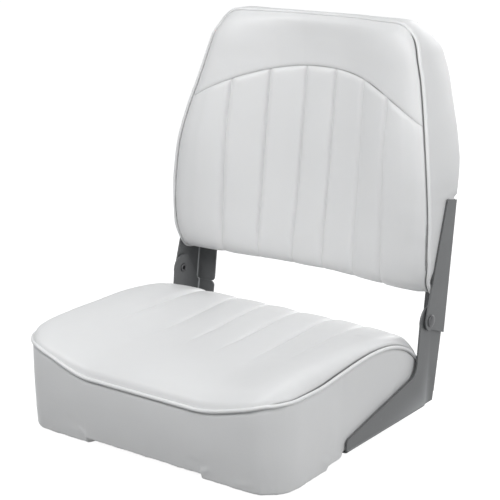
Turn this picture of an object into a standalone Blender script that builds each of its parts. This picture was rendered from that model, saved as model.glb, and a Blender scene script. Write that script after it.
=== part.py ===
"""Folding boat seat: a moulded pan with a padded seat, and a padded back on riveted steel hinges.

Metres, +Z up. The sitter faces -Y, and the hinges turn about X. The origin is the centre of the
square bolt pattern on the pan's underside, in the plane that a pedestal plate bolts against.
Run it with blender --background --python part.py, or from Blender's text editor.
"""

import math
from dataclasses import dataclass

import bmesh
import bpy
from mathutils import Matrix, Vector

# Shared clearances and skins
CLEARANCE = 0.0003
OVERRUN = 0.002
COVER = 0.0015
PIPING_RADIUS = 0.0028
SEAM_GAP = PIPING_RADIUS + 2 * CLEARANCE
SEAM_INSET = 0.0026
BOXING_GAP = PIPING_RADIUS + 3 * CLEARANCE

# Seat cushion: its depth runs forward from its rear seam, and its height is that of the piping
SEAT_DEPTH = 0.360
SEAT_REAR = 0.1665
SEAT_RIM_HEIGHT = 0.1206
SEAT_HALF_WIDTH = 0.208
SEAT_CORNER = 0.052
SEAT_FOAM_INSET = 0.0105
FOAM_SLACK = 0.0036
SEAT_BULGE = 0.004

# Seat outlines as (share of depth, share of piping height), in equal steps from front to rear
SEAT_RIM_SHARES = (
    (0, 0.916), (0.058, 0.927), (0.142, 0.929), (0.267, 0.925), (0.392, 0.9585), (0.517, 0.992), (0.628, 0.998),
    (0.739, 0.955), (0.836, 0.858), (0.911, 0.721), (0.961, 0.531), (0.983, 0.300), (0.979, 0.120),
)
SEAT_BOLSTER_SHARES = (
    (0, 0.916), (0.022, 0.975), (0.086, 1.028), (0.225, 1.049), (0.392, 1.082), (0.531, 1.107), (0.656, 1.107),
    (0.772, 1.061), (0.872, 0.949), (0.944, 0.771), (0.986, 0.547), (1.001, 0.300), (0.986, 0.110),
)
SEAT_CENTRE_SHARES = (
    (0, 0.717), (0.021, 0.821), (0.083, 0.883), (0.211, 0.920), (0.392, 0.941), (0.531, 0.958), (0.669, 0.978),
    (0.794, 0.991), (0.892, 0.945), (0.961, 0.788), (1.001, 0.556), (1.011, 0.300), (0.989, 0.080),
)
SEAT_WIDTH_SHARES = (1, 1, 1, 1, 1, 1, 1, 0.996, 0.988, 0.983, 0.981, 0.981, 0.981)
SEAT_BASE_DEPTH_SHARES = (0, 0.058, 0.142, 0.267, 0.392, 0.517, 0.628, 0.739, 0.825, 0.893, 0.935, 0.958, 0.966)
SEAT_DISH_SHARES = (0.4, 0.9)
SEAT_CHANNEL_FADE_SHARES = (0.28, 0.46, 0.72)

# Back cushion: its height runs up to the top piping, and its depth forward from its rear plane
BACK_HEIGHT = 0.360
BACK_BOTTOM = 0.1595
BACK_DEPTH = 0.111
BACK_REAR = 0.2525
BACK_SIDE_GAP = 0.0005
BACK_CORNER = 0.034
BACK_CHANNEL_SPREAD_TOP_SHARE = 0.92
BACK_CHANNEL_FADE_SHARES = (-1, 0, 0.8)
BACK_FOAM_INSET = 0.0048
BOARD_GAP = 0.0006
ARCH_HEIGHT_SHARE = 0.7986
ARCH_DROP = 0.0530
SHELL_THICKNESS = 0.008
SHELL_INSET = 0.010
REAR_WRAP = 0.008
REAR_BULGE = 0.010
REAR_SPREAD = 0.0035

# Back outlines as (share of height, share of depth), in equal steps from the top seam to the rear
BACK_RIM_SHARES = (
    (0, 0.518), (0.0486, 0.536), (0.1125, 0.605), (0.196, 0.650), (0.293, 0.721), (0.404, 0.818), (0.529, 0.896),
    (0.654, 0.9225), (0.779, 0.9315), (0.876, 0.912), (0.940, 0.858), (0.9875, 0.739), (1.001, 0.568),
)
BACK_BOLSTER_SHARES = (
    (0, 0.518), (0.0375, 0.613), (0.104, 0.689), (0.193, 0.739), (0.293, 0.806), (0.404, 0.901), (0.529, 0.977),
    (0.654, 1.000), (0.779, 1.000), (0.879, 0.982), (0.951, 0.919), (1.003, 0.775), (1.014, 0.586),
)
BACK_CENTRE_SHARES = (
    (0, 0.351), (0.029, 0.414), (0.093, 0.401), (0.182, 0.389), (0.293, 0.419), (0.404, 0.455), (0.529, 0.500),
    (0.654, 0.5495), (0.779, 0.6036), (0.876, 0.653), (0.951, 0.671), (0.9986, 0.604), (1.0125, 0.5045),
)
BACK_WIDTH_SHARES = (
    0.741, 0.759, 0.788, 0.830, 0.873, 0.921, 0.964, 0.988, 1.000, 0.995, 0.977, 0.974, 0.972,
)
BACK_REAR_HEIGHT_SHARES = (0, 0.0486, 0.1125, 0.196, 0.293, 0.404, 0.529, 0.654, 0.779, 0.870, 0.925, 0.962, 0.973)
REAR_BULGE_SHARES = (-1.4, 0.15, 1.07, 1.28, 1.22, 1.22, 1.12, 0.48, -0.12, 0, 0, 0, 0)
REAR_SPREAD_SHARES = (0, 0.5, 0.6, 0.6, 0.7, 0.9, 1, 1, 0, 0, 0, 0, 0)
BACK_DISH_SHARES = (0.15, 0.9)

# Channels: places as shares of the outermost one's, and their size
CHANNEL_SPREAD_SHARE = 0.652
CHANNEL_PLACE_SHARES = (0.19, 0.6, 1)
CHANNEL_DEPTH = 0.003
CHANNEL_HALF_WIDTH = 0.004
CHANNEL_PUFF = 0.0012
ARCH_TUCK = 0.0015

# Hinge: the bracket carries the pan, and the arm turns outside it about the rivet
SHEET = 0.0025
BEND_RADIUS = 0.005
HINGE_STAND_OFF = 0.007
WASHER_THICKNESS = 0.0010
FLANGE_WIDTH = 0.035
BASE_FLANGE_WIDTH = 0.039
FLANGE_CORNER = 0.006
PIVOT_Y = 0.1602
PIVOT_Z = 0.1295
BRACKET_UNDERSIDE = 0.0044
BRACKET_NOSE_TOP = 0.0235
BRACKET_NOSE_RADIUS = 0.008
BRACKET_REAR_FOOT_Y = 0.1834
BRACKET_HEEL_GAP = 0.012
BRACKET_EYE_RADIUS = 0.0205
BRACKET_THROAT_Y = 0.1330
BRACKET_THROAT_Z = 0.0590
BRACKET_THROAT_RADIUS = 0.018
STOP_Y = 0.2012
STOP_Z = 0.1037
ARM_TOP_Y = 0.2241
ARM_TOP_Z = 0.2858
ARM_TOP_WIDTH = 0.0285
ARM_TOP_RISE = 0.0050
ARM_TOP_RADIUS = 0.004
ARM_EYE_RADIUS = 0.0135
ARM_HEEL_RISE = 0.0095

# Fasteners
RIVET_RADIUS = 0.0040
RIVET_HOLE_RADIUS = 0.0043
RIVET_HEAD_RADIUS = 0.0085
RIVET_HEAD_HEIGHT = 0.0028
RIVET_ROLL_RADIUS = 0.0062
RIVET_ROLL_HEIGHT = 0.0018
RIVET_BORE_RADIUS = 0.0024
RIVET_BORE_DEPTH = 0.0060
WASHER_RADIUS = 0.0095
SCREW_SHANK_RADIUS = 0.0022
SCREW_HOLE_RADIUS = 0.0025
SCREW_HEAD_RADIUS = 0.0060
SCREW_HEAD_HEIGHT = 0.0030
SCREW_DRIVE_RADIUS = 0.0020
SCREW_DRIVE_DEPTH = 0.0015
ARM_SCREW_LENGTH = 0.0105
ARM_SCREW_INSET = 0.020
ARM_SCREW_FIRST_Z = 0.185
ARM_SCREW_PITCH = 0.038
ARM_SCREW_COUNT = 3
PAN_SCREW_LENGTH = 0.0150
PAN_SCREW_INSET = 0.0305
PAN_SCREW_NOSE_GAP = 0.034
PAN_SCREW_REAR_Y = 0.126

# Pan: the mounting pads lie at z = 0, the feet below it and the ribs above it
PAN_SIDE_INSET = 0.0027
PAN_FRONT_INSET = 0.0054
PAN_REAR_INSET = 0.0095
PAN_TAPER = 0.0038
PAN_TAPER_RUN = 0.1225
PAN_FRONT_CORNER = 0.045
PAN_REAR_CORNER = 0.014
DECK_Z = 0.030
DECK_THICKNESS = 0.003
RIB_THICKNESS = 0.0026
RIB_LEVEL = 0.0028
RIB_CELLS_ACROSS = 8
RIB_CELLS_ALONG = 7
SKIRT = 0.0045
FOOT_DEPTH = 0.006
FOOT_HEM_LEVEL = -0.0030
FRONT_FOOT_WIDTH = 0.1108
FRONT_FOOT_LENGTH = 0.1106
FRONT_FOOT_GAP = 0.0375
REAR_FOOT_WIDTH = 0.059
REAR_FOOT_GAP = 0.013
REAR_FOOT_FRONT_Y = 0.074
REAR_FOOT_REAR_Y = 0.128
FOOT_WALL = 0.004
FOOT_CORNER = 0.006
HEM_WIDTH = 0.0145
HEM_FOLD = 0.003
COVER_GAP = 0.0009
SMALL_FOLD = 0.0012
HEM_LEVEL = 0.0004
HEM_DROP = FOOT_DEPTH - COVER / 3
BOLT_SPACING = 0.127
TNUT_BOSS_RADIUS = 0.013
TNUT_BARREL_RADIUS = 0.0050
TNUT_BORE_RADIUS = 0.0033
TNUT_FLANGE_RADIUS = 0.0110
TNUT_FLANGE_THICKNESS = 0.0015
TNUT_END_Z = 0.0015
HUB_RADIUS = 0.022
SCREW_BOSS_RADIUS = 0.0065

# Facets
ROUND_SIDES = 12
SMALL_SIDES = 8
ARC_STEPS = 5
BEND_STEPS = 3
SMOOTH_ANGLE = math.radians(35)

# Finishes: colour, roughness and metallic value
FINISHES = {
    "vinyl": ((0.86, 0.86, 0.85, 1), 0.45, 0.0),
    "vinyl_piping": ((0.88, 0.88, 0.87, 1), 0.40, 0.0),
    "grey_paint": ((0.17, 0.175, 0.18, 1), 0.45, 0.35),
    "zinc": ((0.62, 0.62, 0.60, 1), 0.35, 1.0),
    "moulding": ((0.80, 0.80, 0.78, 1), 0.50, 0.0),
    "foam": ((0.80, 0.74, 0.52, 1), 0.95, 0.0),
}

# Places that follow from the sizes above
SEAT_FRONT = SEAT_REAR - SEAT_DEPTH
SEAT_CHANNEL_SPREAD = CHANNEL_SPREAD_SHARE * SEAT_HALF_WIDTH
HINGE_OUTER_X = SEAT_HALF_WIDTH + HINGE_STAND_OFF
FLANGE_EDGE_X = HINGE_OUTER_X - FLANGE_WIDTH
BASE_FLANGE_EDGE_X = HINGE_OUTER_X - BASE_FLANGE_WIDTH
ARM_SCREW_X = HINGE_OUTER_X - ARM_SCREW_INSET
PAN_SCREW_X = HINGE_OUTER_X - PAN_SCREW_INSET
BACK_TOP = BACK_BOTTOM + BACK_HEIGHT
BACK_HALF_WIDTH = HINGE_OUTER_X - BACK_SIDE_GAP
ARCH_HEIGHT = BACK_BOTTOM + ARCH_HEIGHT_SHARE * BACK_HEIGHT
PAN_HALF_WIDTH = SEAT_HALF_WIDTH - PAN_SIDE_INSET
PAN_FRONT = SEAT_FRONT + PAN_FRONT_INSET
PAN_REAR = SEAT_REAR - PAN_REAR_INSET
FRONT_FOOT_INNER_X = PAN_HALF_WIDTH - FRONT_FOOT_WIDTH
FRONT_FOOT_REAR_Y = PAN_FRONT + FRONT_FOOT_LENGTH
BRACKET_NOSE_Y = FRONT_FOOT_REAR_Y + FRONT_FOOT_GAP
PAN_TAPER_END_Y = FRONT_FOOT_REAR_Y + PAN_TAPER_RUN
PAN_SCREW_YS = (BRACKET_NOSE_Y + PAN_SCREW_NOSE_GAP, PAN_SCREW_REAR_Y)
REAR_FOOT_OUTER_X = BASE_FLANGE_EDGE_X - REAR_FOOT_GAP
REAR_FOOT_INNER_X = REAR_FOOT_OUTER_X - REAR_FOOT_WIDTH
ARM_INNER_X = HINGE_OUTER_X - SHEET
BRACKET_OUTER_X = ARM_INNER_X - WASHER_THICKNESS - 2 * CLEARANCE
BRACKET_INNER_X = BRACKET_OUTER_X - SHEET
COVER_LIMIT_X = BRACKET_INNER_X - CLEARANCE
BACK_COVER_LIMIT_X = ARM_INNER_X - 2 * CLEARANCE
BRACKET_LEDGE_Z = BRACKET_UNDERSIDE + SHEET
BRACKET_HEM_LEVEL = BRACKET_LEDGE_Z + CLEARANCE
BRACKET_PAN_LEVEL = BRACKET_HEM_LEVEL + COVER + CLEARANCE
BRACKET_ZONE_FRONT_Y = BRACKET_NOSE_Y - HEM_FOLD
BRACKET_ZONE_INNER_X = BASE_FLANGE_EDGE_X - HEM_FOLD
STEP_SPREAD = COVER
NOTCH_INNER_X = BRACKET_ZONE_INNER_X - 3 * STEP_SPREAD


def smooth_step(value, low, high):
    """A soft ramp from 0 at low to 1 at high."""
    t = min(max((value - low) / (high - low), 0), 1)
    return t * t * (3 - 2 * t)


def along(table, share):
    """The value at a share from 0 to 1 of the way along a table of equal steps, on a smooth curve."""
    rows = [Vector(row if isinstance(row, tuple) else (row, 0)) for row in table]
    last = len(rows) - 1
    step = min(int(share * last), last - 1)
    t = share * last - step
    before, start, end, after = (rows[min(max(step + k, 0), last)] for k in (-1, 0, 1, 2))
    found = start + 0.5 * t * ((end - before) + t * (2 * before - 5 * start + 4 * end - after)
                               + t * t * (3 * (start - end) + after - before))
    return found if isinstance(table[0], tuple) else found.x


def round_corner(x, reach, half_width, radius):
    """Pulls a point near an outline's front corner in, so that the square corner becomes a round one.

    reach is the distance behind the front edge. The pair that comes back is (x, reach).
    """
    a = (abs(x) - (half_width - radius)) / radius
    b = (radius - reach) / radius
    if a <= 0 or b <= 0:
        return x, reach
    across = half_width - radius + radius * a * math.sqrt(max(1 - b * b / 2, 0))
    return math.copysign(across, x), radius - radius * b * math.sqrt(max(1 - a * a / 2, 0))


@dataclass(frozen=True)
class Padding:
    """The shape of one cushion: how its cover runs from one seam, over the pad, to the other side.

    A place on it is (across, share): across runs from -1 to 1 over the width, and share from 0 at the
    leading seam to 1 at the trailing edge. Its points are (x, run, rise), and place() puts them in the seat.
    """

    rim: tuple
    bolster: tuple
    centre: tuple
    width: tuple
    length: float
    height: float
    half_width: float
    corner: float
    dish: tuple
    channel_spread: tuple
    channel_fade: tuple

    def profile(self, table, share):
        """A table's point there, in metres."""
        point = along(table, share)
        return Vector((point.x * self.length, point.y * self.height))

    def outward(self, table, share):
        """The direction square to a table's curve there, away from the pad."""
        nudge = 0.01
        step = self.profile(table, min(share + nudge, 1)) - self.profile(table, max(share - nudge, 0))
        return Vector((-step.y, step.x)).normalized()

    def half(self, share):
        """Half the width of the pad there."""
        return self.half_width * along(self.width, share)

    def channel(self, share):
        """Where the outermost channel lies there, as a share of the half width."""
        first, last = self.channel_spread
        return (first + (last - first) * share) / self.half(share)

    def across_of(self, position, share):
        """The share of the half width at a column, where column 0.65 follows the outermost channel."""
        channel = self.channel(share)
        size = abs(position)
        found = size * channel / 0.65 if size < 0.65 else channel + (size - 0.65) * (1 - channel) / 0.35
        return math.copysign(found, position)

    def channel_depth(self, position, share):
        """How deep the sewn channels lie at a column, or with a minus how high the pad puffs between them."""
        low, high, end = self.channel_fade
        fade = smooth_step(share, low, high) * (1 - smooth_step(share, end, 1))
        if abs(position) > 0.65 + 0.02:
            return 0
        for place in CHANNEL_PLACE_SHARES:
            if abs(abs(position) - 0.65 * place) < 0.002:
                return CHANNEL_DEPTH * fade
        beside = min(abs(abs(position) - 0.65 * place) for place in CHANNEL_PLACE_SHARES)
        return -CHANNEL_PUFF * fade if beside > 0.03 else 0

    def seam(self, side, share):
        """The line of the piping: side is -1 or 1 along a side, where share runs, or between them at the front."""
        if share > 0 or abs(side) == 1:
            run, rise = self.profile(self.rim, share)
            return self.rounded(math.copysign(self.half(share), side), run, rise)
        inner = self.profile(self.centre, 0).lerp(self.profile(self.bolster, 0), smooth_step(abs(side), *self.dish))
        run, rise = inner.lerp(self.profile(self.rim, 0), self.edge_drop(abs(side)))
        return self.rounded(side * self.half(0), run, rise)

    def edge_drop(self, size):
        """How far the rounded side edge has dropped towards the seam at a share of the half width."""
        past = max(size - self.dish[1], 0) / (1 - self.dish[1])
        return 1 - math.sqrt(max(1 - past * past, 0))

    def rounded(self, x, run, rise):
        """A point with the leading corners of the outline rounded."""
        x, run = round_corner(x, run, self.half(0), self.corner)
        return Vector((x, run, rise))

    def fronts(self, extra=()):
        """Places across the leading seam, from side 1 to side -1, under the columns of the panel."""
        places = [self.across_of(column, 0) for column in columns(fine=False)] + list(extra)
        return sorted(places, reverse=True)

    def surface(self, position, share, inset=0, lower=0, channels=True):
        """The cover's outer face at a column and share; inset shrinks it in plan, and lower sinks it."""
        across = self.across_of(position, share)
        size = abs(across)
        low, high = self.dish
        weight = smooth_step(size, low, high)
        point = self.profile(self.centre, share).lerp(self.profile(self.bolster, share), weight)
        normal = self.outward(self.centre, share)
        if share == 0:
            point.y += SEAM_GAP
        if size > high:
            edge = self.profile(self.rim, share) + self.outward(self.rim, share) * SEAM_GAP
            point = point.lerp(edge, self.edge_drop(size))
        depth = lower + self.channel_depth(position, share) if channels else lower
        point = point - normal * depth
        lead = inset * (1 - share)
        x, run = round_corner(across * (self.half(share) - inset), point.x, self.half(0) - inset, self.corner)
        return Vector((x, run + lead, point.y))


SEAT = Padding(
    SEAT_RIM_SHARES, SEAT_BOLSTER_SHARES, SEAT_CENTRE_SHARES, SEAT_WIDTH_SHARES, SEAT_DEPTH, SEAT_RIM_HEIGHT,
    SEAT_HALF_WIDTH, SEAT_CORNER, SEAT_DISH_SHARES, (SEAT_CHANNEL_SPREAD, SEAT_CHANNEL_SPREAD),
    SEAT_CHANNEL_FADE_SHARES,
)
BACK = Padding(
    BACK_RIM_SHARES, BACK_BOLSTER_SHARES, BACK_CENTRE_SHARES, BACK_WIDTH_SHARES, BACK_HEIGHT, BACK_DEPTH,
    BACK_HALF_WIDTH, BACK_CORNER, BACK_DISH_SHARES,
    (SEAT_CHANNEL_SPREAD * BACK_CHANNEL_SPREAD_TOP_SHARE, SEAT_CHANNEL_SPREAD), BACK_CHANNEL_FADE_SHARES,
)


def place_seat(point):
    """A seat cushion's point in the whole seat's frame."""
    return Vector((point.x, SEAT_FRONT + point.y, point.z))


def place_back(point):
    """A back cushion's point in the whole seat's frame."""
    return Vector((point.x, BACK_REAR - point.z, BACK_TOP - point.y))


def arm_rear_y(z):
    """The rear face of the arm's flange at a height."""
    return STOP_Y + (z - STOP_Z) * (ARM_TOP_Y - STOP_Y) / (ARM_TOP_Z - STOP_Z)


def bracket_rear_y(z):
    """The rear face of the bracket's flange at a height."""
    lean = (STOP_Y - BRACKET_REAR_FOOT_Y) / (STOP_Z - BRACKET_UNDERSIDE)
    return BRACKET_REAR_FOOT_Y + (z - BRACKET_UNDERSIDE) * lean


def back_rear_y(share):
    """The rear face of the back's cover at a share of its height below the top seam."""
    z = BACK_TOP - share * BACK_HEIGHT
    return arm_rear_y(z) - SHEET - CLEARANCE + REAR_BULGE * along(REAR_BULGE_SHARES, min(share, 1))


# Scene, materials and objects

def clear_scene():
    """Removes whatever the scene holds."""
    for obj in list(bpy.data.objects):
        bpy.data.objects.remove(obj)


def finish(name):
    """The material of that name, made once."""
    found = bpy.data.materials.get(name)
    if found:
        return found
    colour, roughness, metallic = FINISHES[name]
    made = bpy.data.materials.new(name)
    made.use_nodes = True
    shader = made.node_tree.nodes["Principled BSDF"]
    shader.inputs["Base Color"].default_value = colour
    shader.inputs["Roughness"].default_value = roughness
    shader.inputs["Metallic"].default_value = metallic
    made.diffuse_color = colour
    return made


def add_object(name, data, material, parent=None):
    """An object that shows the data, with its place kept when it hangs on a parent."""
    data.name = name
    if material:
        data.materials.append(finish(material))
    made = bpy.data.objects.new(name, data)
    bpy.context.scene.collection.objects.link(made)
    if parent:
        made.parent = parent
        made.matrix_parent_inverse = Matrix.Translation(parent.location).inverted()
    return made


def mesh_of(bm, smooth=True):
    """The finished mesh of a bmesh, which is freed."""
    mesh = bpy.data.meshes.new("shape")
    bm.to_mesh(mesh)
    bm.free()
    if smooth:
        mesh.shade_smooth()
        mesh.set_sharp_from_angle(angle=SMOOTH_ANGLE)
    return mesh


def mirrored(mesh):
    """A copy of a mesh for the other side of the seat."""
    bm = bmesh.new()
    bm.from_mesh(mesh)
    bmesh.ops.scale(bm, vec=(-1, 1, 1), verts=bm.verts)
    bmesh.ops.reverse_faces(bm, faces=bm.faces)
    return mesh_of(bm)


def add_pair(name, mesh, material, parent):
    """The right-hand piece and its mirror image, named for the sitter's sides."""
    return [add_object(f"{name}_{side}", data, material, parent)
            for side, data in (("left", mesh), ("right", mirrored(mesh)))]


def cut(target, cutter, operation="DIFFERENCE"):
    """Cuts a hidden object out of the target, or joins it to it."""
    cutter.hide_render = True
    cutter.display_type = "WIRE"
    modifier = target.modifiers.new(cutter.name, "BOOLEAN")
    modifier.operation = operation
    modifier.object = cutter


def skin(target, thickness=COVER):
    """Gives an open sheet its thickness, on its inner side."""
    modifier = target.modifiers.new("thickness", "SOLIDIFY")
    modifier.thickness = thickness
    modifier.offset = -1
    modifier.use_even_offset = True


# Outlines, prisms and turned pieces

def filleted(corners):
    """A closed outline from (point, radius) corners, with an arc at each corner that has a radius."""
    points = []
    for i, (corner, radius) in enumerate(corners):
        here = Vector(corner)
        if not radius:
            points.append(here)
            continue
        back = (Vector(corners[i - 1][0]) - here).normalized()
        ahead = (Vector(corners[(i + 1) % len(corners)][0]) - here).normalized()
        half_angle = back.angle(ahead) / 2
        centre = here + (back + ahead).normalized() * radius / math.sin(half_angle)
        start = here + back * radius / math.tan(half_angle) - centre
        end = here + ahead * radius / math.tan(half_angle) - centre
        turn = start.angle_signed(end)
        for k in range(ARC_STEPS + 1):
            points.append(centre + Matrix.Rotation(-turn * k / ARC_STEPS, 2) @ start)
    return points


def rounded_rectangle(low_x, high_x, low_y, high_y, radii):
    """A rectangle's outline, counter-clockwise from its low corner, with a radius for each corner."""
    corners = ((low_x, low_y), (high_x, low_y), (high_x, high_y), (low_x, high_y))
    return filleted(list(zip(corners, radii)))


def stack(bm, levels):
    """Adds a closed upright body through (outline, height) levels whose outlines have as many points each."""
    loops = [[bm.verts.new((x, y, height)) for x, y in outline] for outline, height in levels]
    for lower, upper in zip(loops, loops[1:]):
        for i in range(len(lower)):
            bm.faces.new((lower[i - 1], lower[i], upper[i], upper[i - 1]))
    bm.faces.new(reversed(loops[0]))
    bm.faces.new(loops[-1])


def prism(bm, outline, low, high):
    """Adds a closed upright prism of an outline."""
    stack(bm, [(outline, low), (outline, high)])


def ring(bm, outline, inner, low, high):
    """Adds a closed upright ring between two outlines with as many points each."""
    loops = [[bm.verts.new((x, y, low)) for x, y in points] for points in (outline, inner)]
    edges = [bm.edges.new((loop[i - 1], loop[i])) for loop in loops for i in range(len(loop))]
    bridged = bmesh.ops.bridge_loops(bm, edges=edges)
    made = bmesh.ops.extrude_face_region(bm, geom=bridged["faces"], use_keep_orig=True)
    top = [part for part in made["geom"] if isinstance(part, bmesh.types.BMVert)]
    bmesh.ops.translate(bm, verts=top, vec=(0, 0, high - low))


def turned(bm, profile, sides, place=Matrix.Identity(4)):
    """Adds a piece turned about Z from (radius, height) points, then moved to its place."""
    before = set(bm.verts)
    verts = [bm.verts.new((radius, 0, height)) for radius, height in profile]
    closed = profile[0][0] > 0
    count = len(verts)
    edges = [bm.edges.new((verts[i], verts[(i + 1) % count])) for i in range(count if closed else count - 1)]
    bmesh.ops.spin(bm, geom=verts + edges, cent=(0, 0, 0), axis=(0, 0, 1), dvec=(0, 0, 0),
                   angle=math.tau, steps=sides, use_merge=True, use_duplicate=False)
    bmesh.ops.remove_doubles(bm, verts=[v for v in bm.verts if v not in before], dist=CLEARANCE / 100)
    bmesh.ops.transform(bm, matrix=place, verts=[v for v in bm.verts if v not in before])


def facing_out(bm):
    """Turns every face of closed shapes outwards."""
    bmesh.ops.recalc_face_normals(bm, faces=bm.faces)
    return bm


def turned_mesh(profile, sides, place=Matrix.Identity(4)):
    """The mesh of one turned piece."""
    bm = bmesh.new()
    turned(bm, profile, sides, place)
    return mesh_of(facing_out(bm))


# Cushion covers, foam and piping

FOAM_COLUMNS = (0, 0.16, 0.32, 0.48, 0.65, 0.83, 0.92, 0.97, 1)
SEAT_ROWS = (0, 0.035, 0.083, 0.15, 0.21, 0.287, 0.344, 0.45, 0.56, 0.67, 0.76, 0.84, 0.92, 1)


def columns(fine=True):
    """The columns of a cushion's grid, from -1 to 1, with one or, where fine, three at each sewn channel."""
    half = [0.0]
    edge = 0.65 * CHANNEL_HALF_WIDTH / SEAT_CHANNEL_SPREAD
    for place in CHANNEL_PLACE_SHARES:
        middle = 0.65 * place
        if half[-1]:
            half.append(half[-1] + (middle - half[-1]) / 2)
        half += [middle - edge, middle, middle + edge] if fine else [middle]
    half += [0.74, 0.83, 0.86, 0.92, 0.963, 0.989, 1.0]
    return both_ways(half)


def both_ways(half):
    """A list from -1 to 1 out of its half from 0 to 1."""
    return [-value for value in reversed(half[1:])] + list(half)


def sheet_grid(across, down, point_at):
    """An open sheet of quads, with point_at(column, row) giving each corner's place."""
    bm = bmesh.new()
    bmesh.ops.create_grid(bm, x_segments=len(across) - 1, y_segments=len(down) - 1, size=1)
    bm.verts.ensure_lookup_table()
    for index, vert in enumerate(bm.verts):
        row, column = divmod(index, len(across))
        vert.co = point_at(across[column], down[row])
    return bm


def faced(bm, direction):
    """A sheet turned, if need be, so that its middle face looks along the direction."""
    bm.faces.ensure_lookup_table()
    bm.normal_update()
    total = sum((face.normal * face.calc_area() for face in bm.faces), Vector())
    if total.dot(Vector(direction)) < 0:
        bmesh.ops.reverse_faces(bm, faces=bm.faces)
    return bm


def slab_grid(across, down, front_at, rear_at):
    """A closed body between two sheets with the same columns and rows."""
    bm = sheet_grid(across, down, front_at)
    label = bm.verts.layers.int.new("place")
    for index, vert in enumerate(bm.verts):
        vert[label] = index
    made = bmesh.ops.extrude_face_region(bm, geom=bm.faces[:], use_keep_orig=True)
    for vert in (part for part in made["geom"] if isinstance(part, bmesh.types.BMVert)):
        row, column = divmod(vert[label], len(across))
        vert.co = rear_at(across[column], down[row])
    return facing_out(bm)


def seam_places(rows, fronts):
    """(side, share) places along a cushion's piping: up one side, across the front and down the other."""
    right = [(1, share) for share in reversed(rows)]
    left = [(-1, share) for share in rows]
    return right + [(side, 0) for side in fronts] + left


def piping(name, padding, place, rows, parent):
    """The piping: one tube along the seam, with closed ends."""
    points = [place(padding.seam(side, share)) for side, share in seam_places(rows, padding.fronts())]
    curve = bpy.data.curves.new(name, "CURVE")
    curve.dimensions = "3D"
    curve.bevel_depth = PIPING_RADIUS
    curve.bevel_resolution = 1
    curve.use_fill_caps = True
    spline = curve.splines.new("POLY")
    spline.points.add(len(points) - 1)
    for point, target in zip(spline.points, points):
        point.co = (*target, 1)
    return add_object(name, curve, "vinyl_piping", parent)


def strip_sheet(rings):
    """An open sheet through rows of points, one row inside or below the next."""
    down = list(range(len(rings)))
    across = list(range(len(rings[0])))
    return sheet_grid(across, down, lambda column, row: rings[row][column])


def plan_normals(points):
    """The outward direction in plan at each point of a path that runs round a shape."""
    found = []
    for i in range(len(points)):
        step = points[min(i + 1, len(points) - 1)] - points[max(i - 1, 0)]
        found.append(Vector((step.x, step.y)).normalized().orthogonal())
    return found


# Seat pieces

def over_bracket(x, y):
    """1 where the cover's lower edge lies over a bracket's base flange, and 0 away from it."""
    return (smooth_step(y, BRACKET_ZONE_FRONT_Y - STEP_SPREAD, BRACKET_ZONE_FRONT_Y + STEP_SPREAD)
            * smooth_step(abs(x), BRACKET_ZONE_INNER_X - STEP_SPREAD, BRACKET_ZONE_INNER_X + STEP_SPREAD))


def under_foot(x, y):
    """1 where the cover's lower edge lies under a front foot, and 0 away from it."""
    return (smooth_step(abs(x), FRONT_FOOT_INNER_X - STEP_SPREAD, FRONT_FOOT_INNER_X + STEP_SPREAD)
            * smooth_step(-y, -FRONT_FOOT_REAR_Y - STEP_SPREAD, -FRONT_FOOT_REAR_Y + STEP_SPREAD))


def cover_level(x, y):
    """The height of the underside of the seat's cover at a place on its lower edge."""
    return HEM_LEVEL - HEM_DROP * under_foot(x, y) + (BRACKET_HEM_LEVEL - HEM_LEVEL) * over_bracket(x, y)


def seat_side_share(y):
    """The share along the seat's side whose base point lies at y."""
    low, high = 0, 1
    for _ in range(30):
        middle = (low + high) / 2
        if SEAT_FRONT + SEAT_DEPTH * along(SEAT_BASE_DEPTH_SHARES, middle) < y:
            low = middle
        else:
            high = middle
    return low


def pan_taper(y):
    """How much narrower each side of the pan is at y than at its front feet."""
    share = (y - FRONT_FOOT_REAR_Y) / (PAN_TAPER_END_Y - FRONT_FOOT_REAR_Y)
    return PAN_TAPER * min(max(share, 0), 1)


def seat_base(side, share, inset):
    """A point of the pan's outline under the seam at that place, moved in by the inset."""
    half = PAN_HALF_WIDTH + COVER + COVER_GAP - inset
    front = PAN_FRONT - COVER - COVER_GAP + inset
    corner = PAN_FRONT_CORNER + COVER
    run = SEAT_FRONT + SEAT_DEPTH * along(SEAT_BASE_DEPTH_SHARES, share) - front
    x, run = round_corner(side * half, max(run, 0) if share else 0, half, corner - inset)
    return Vector((x - side * pan_taper(front + run) if abs(side) == 1 else x, front + run))


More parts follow.
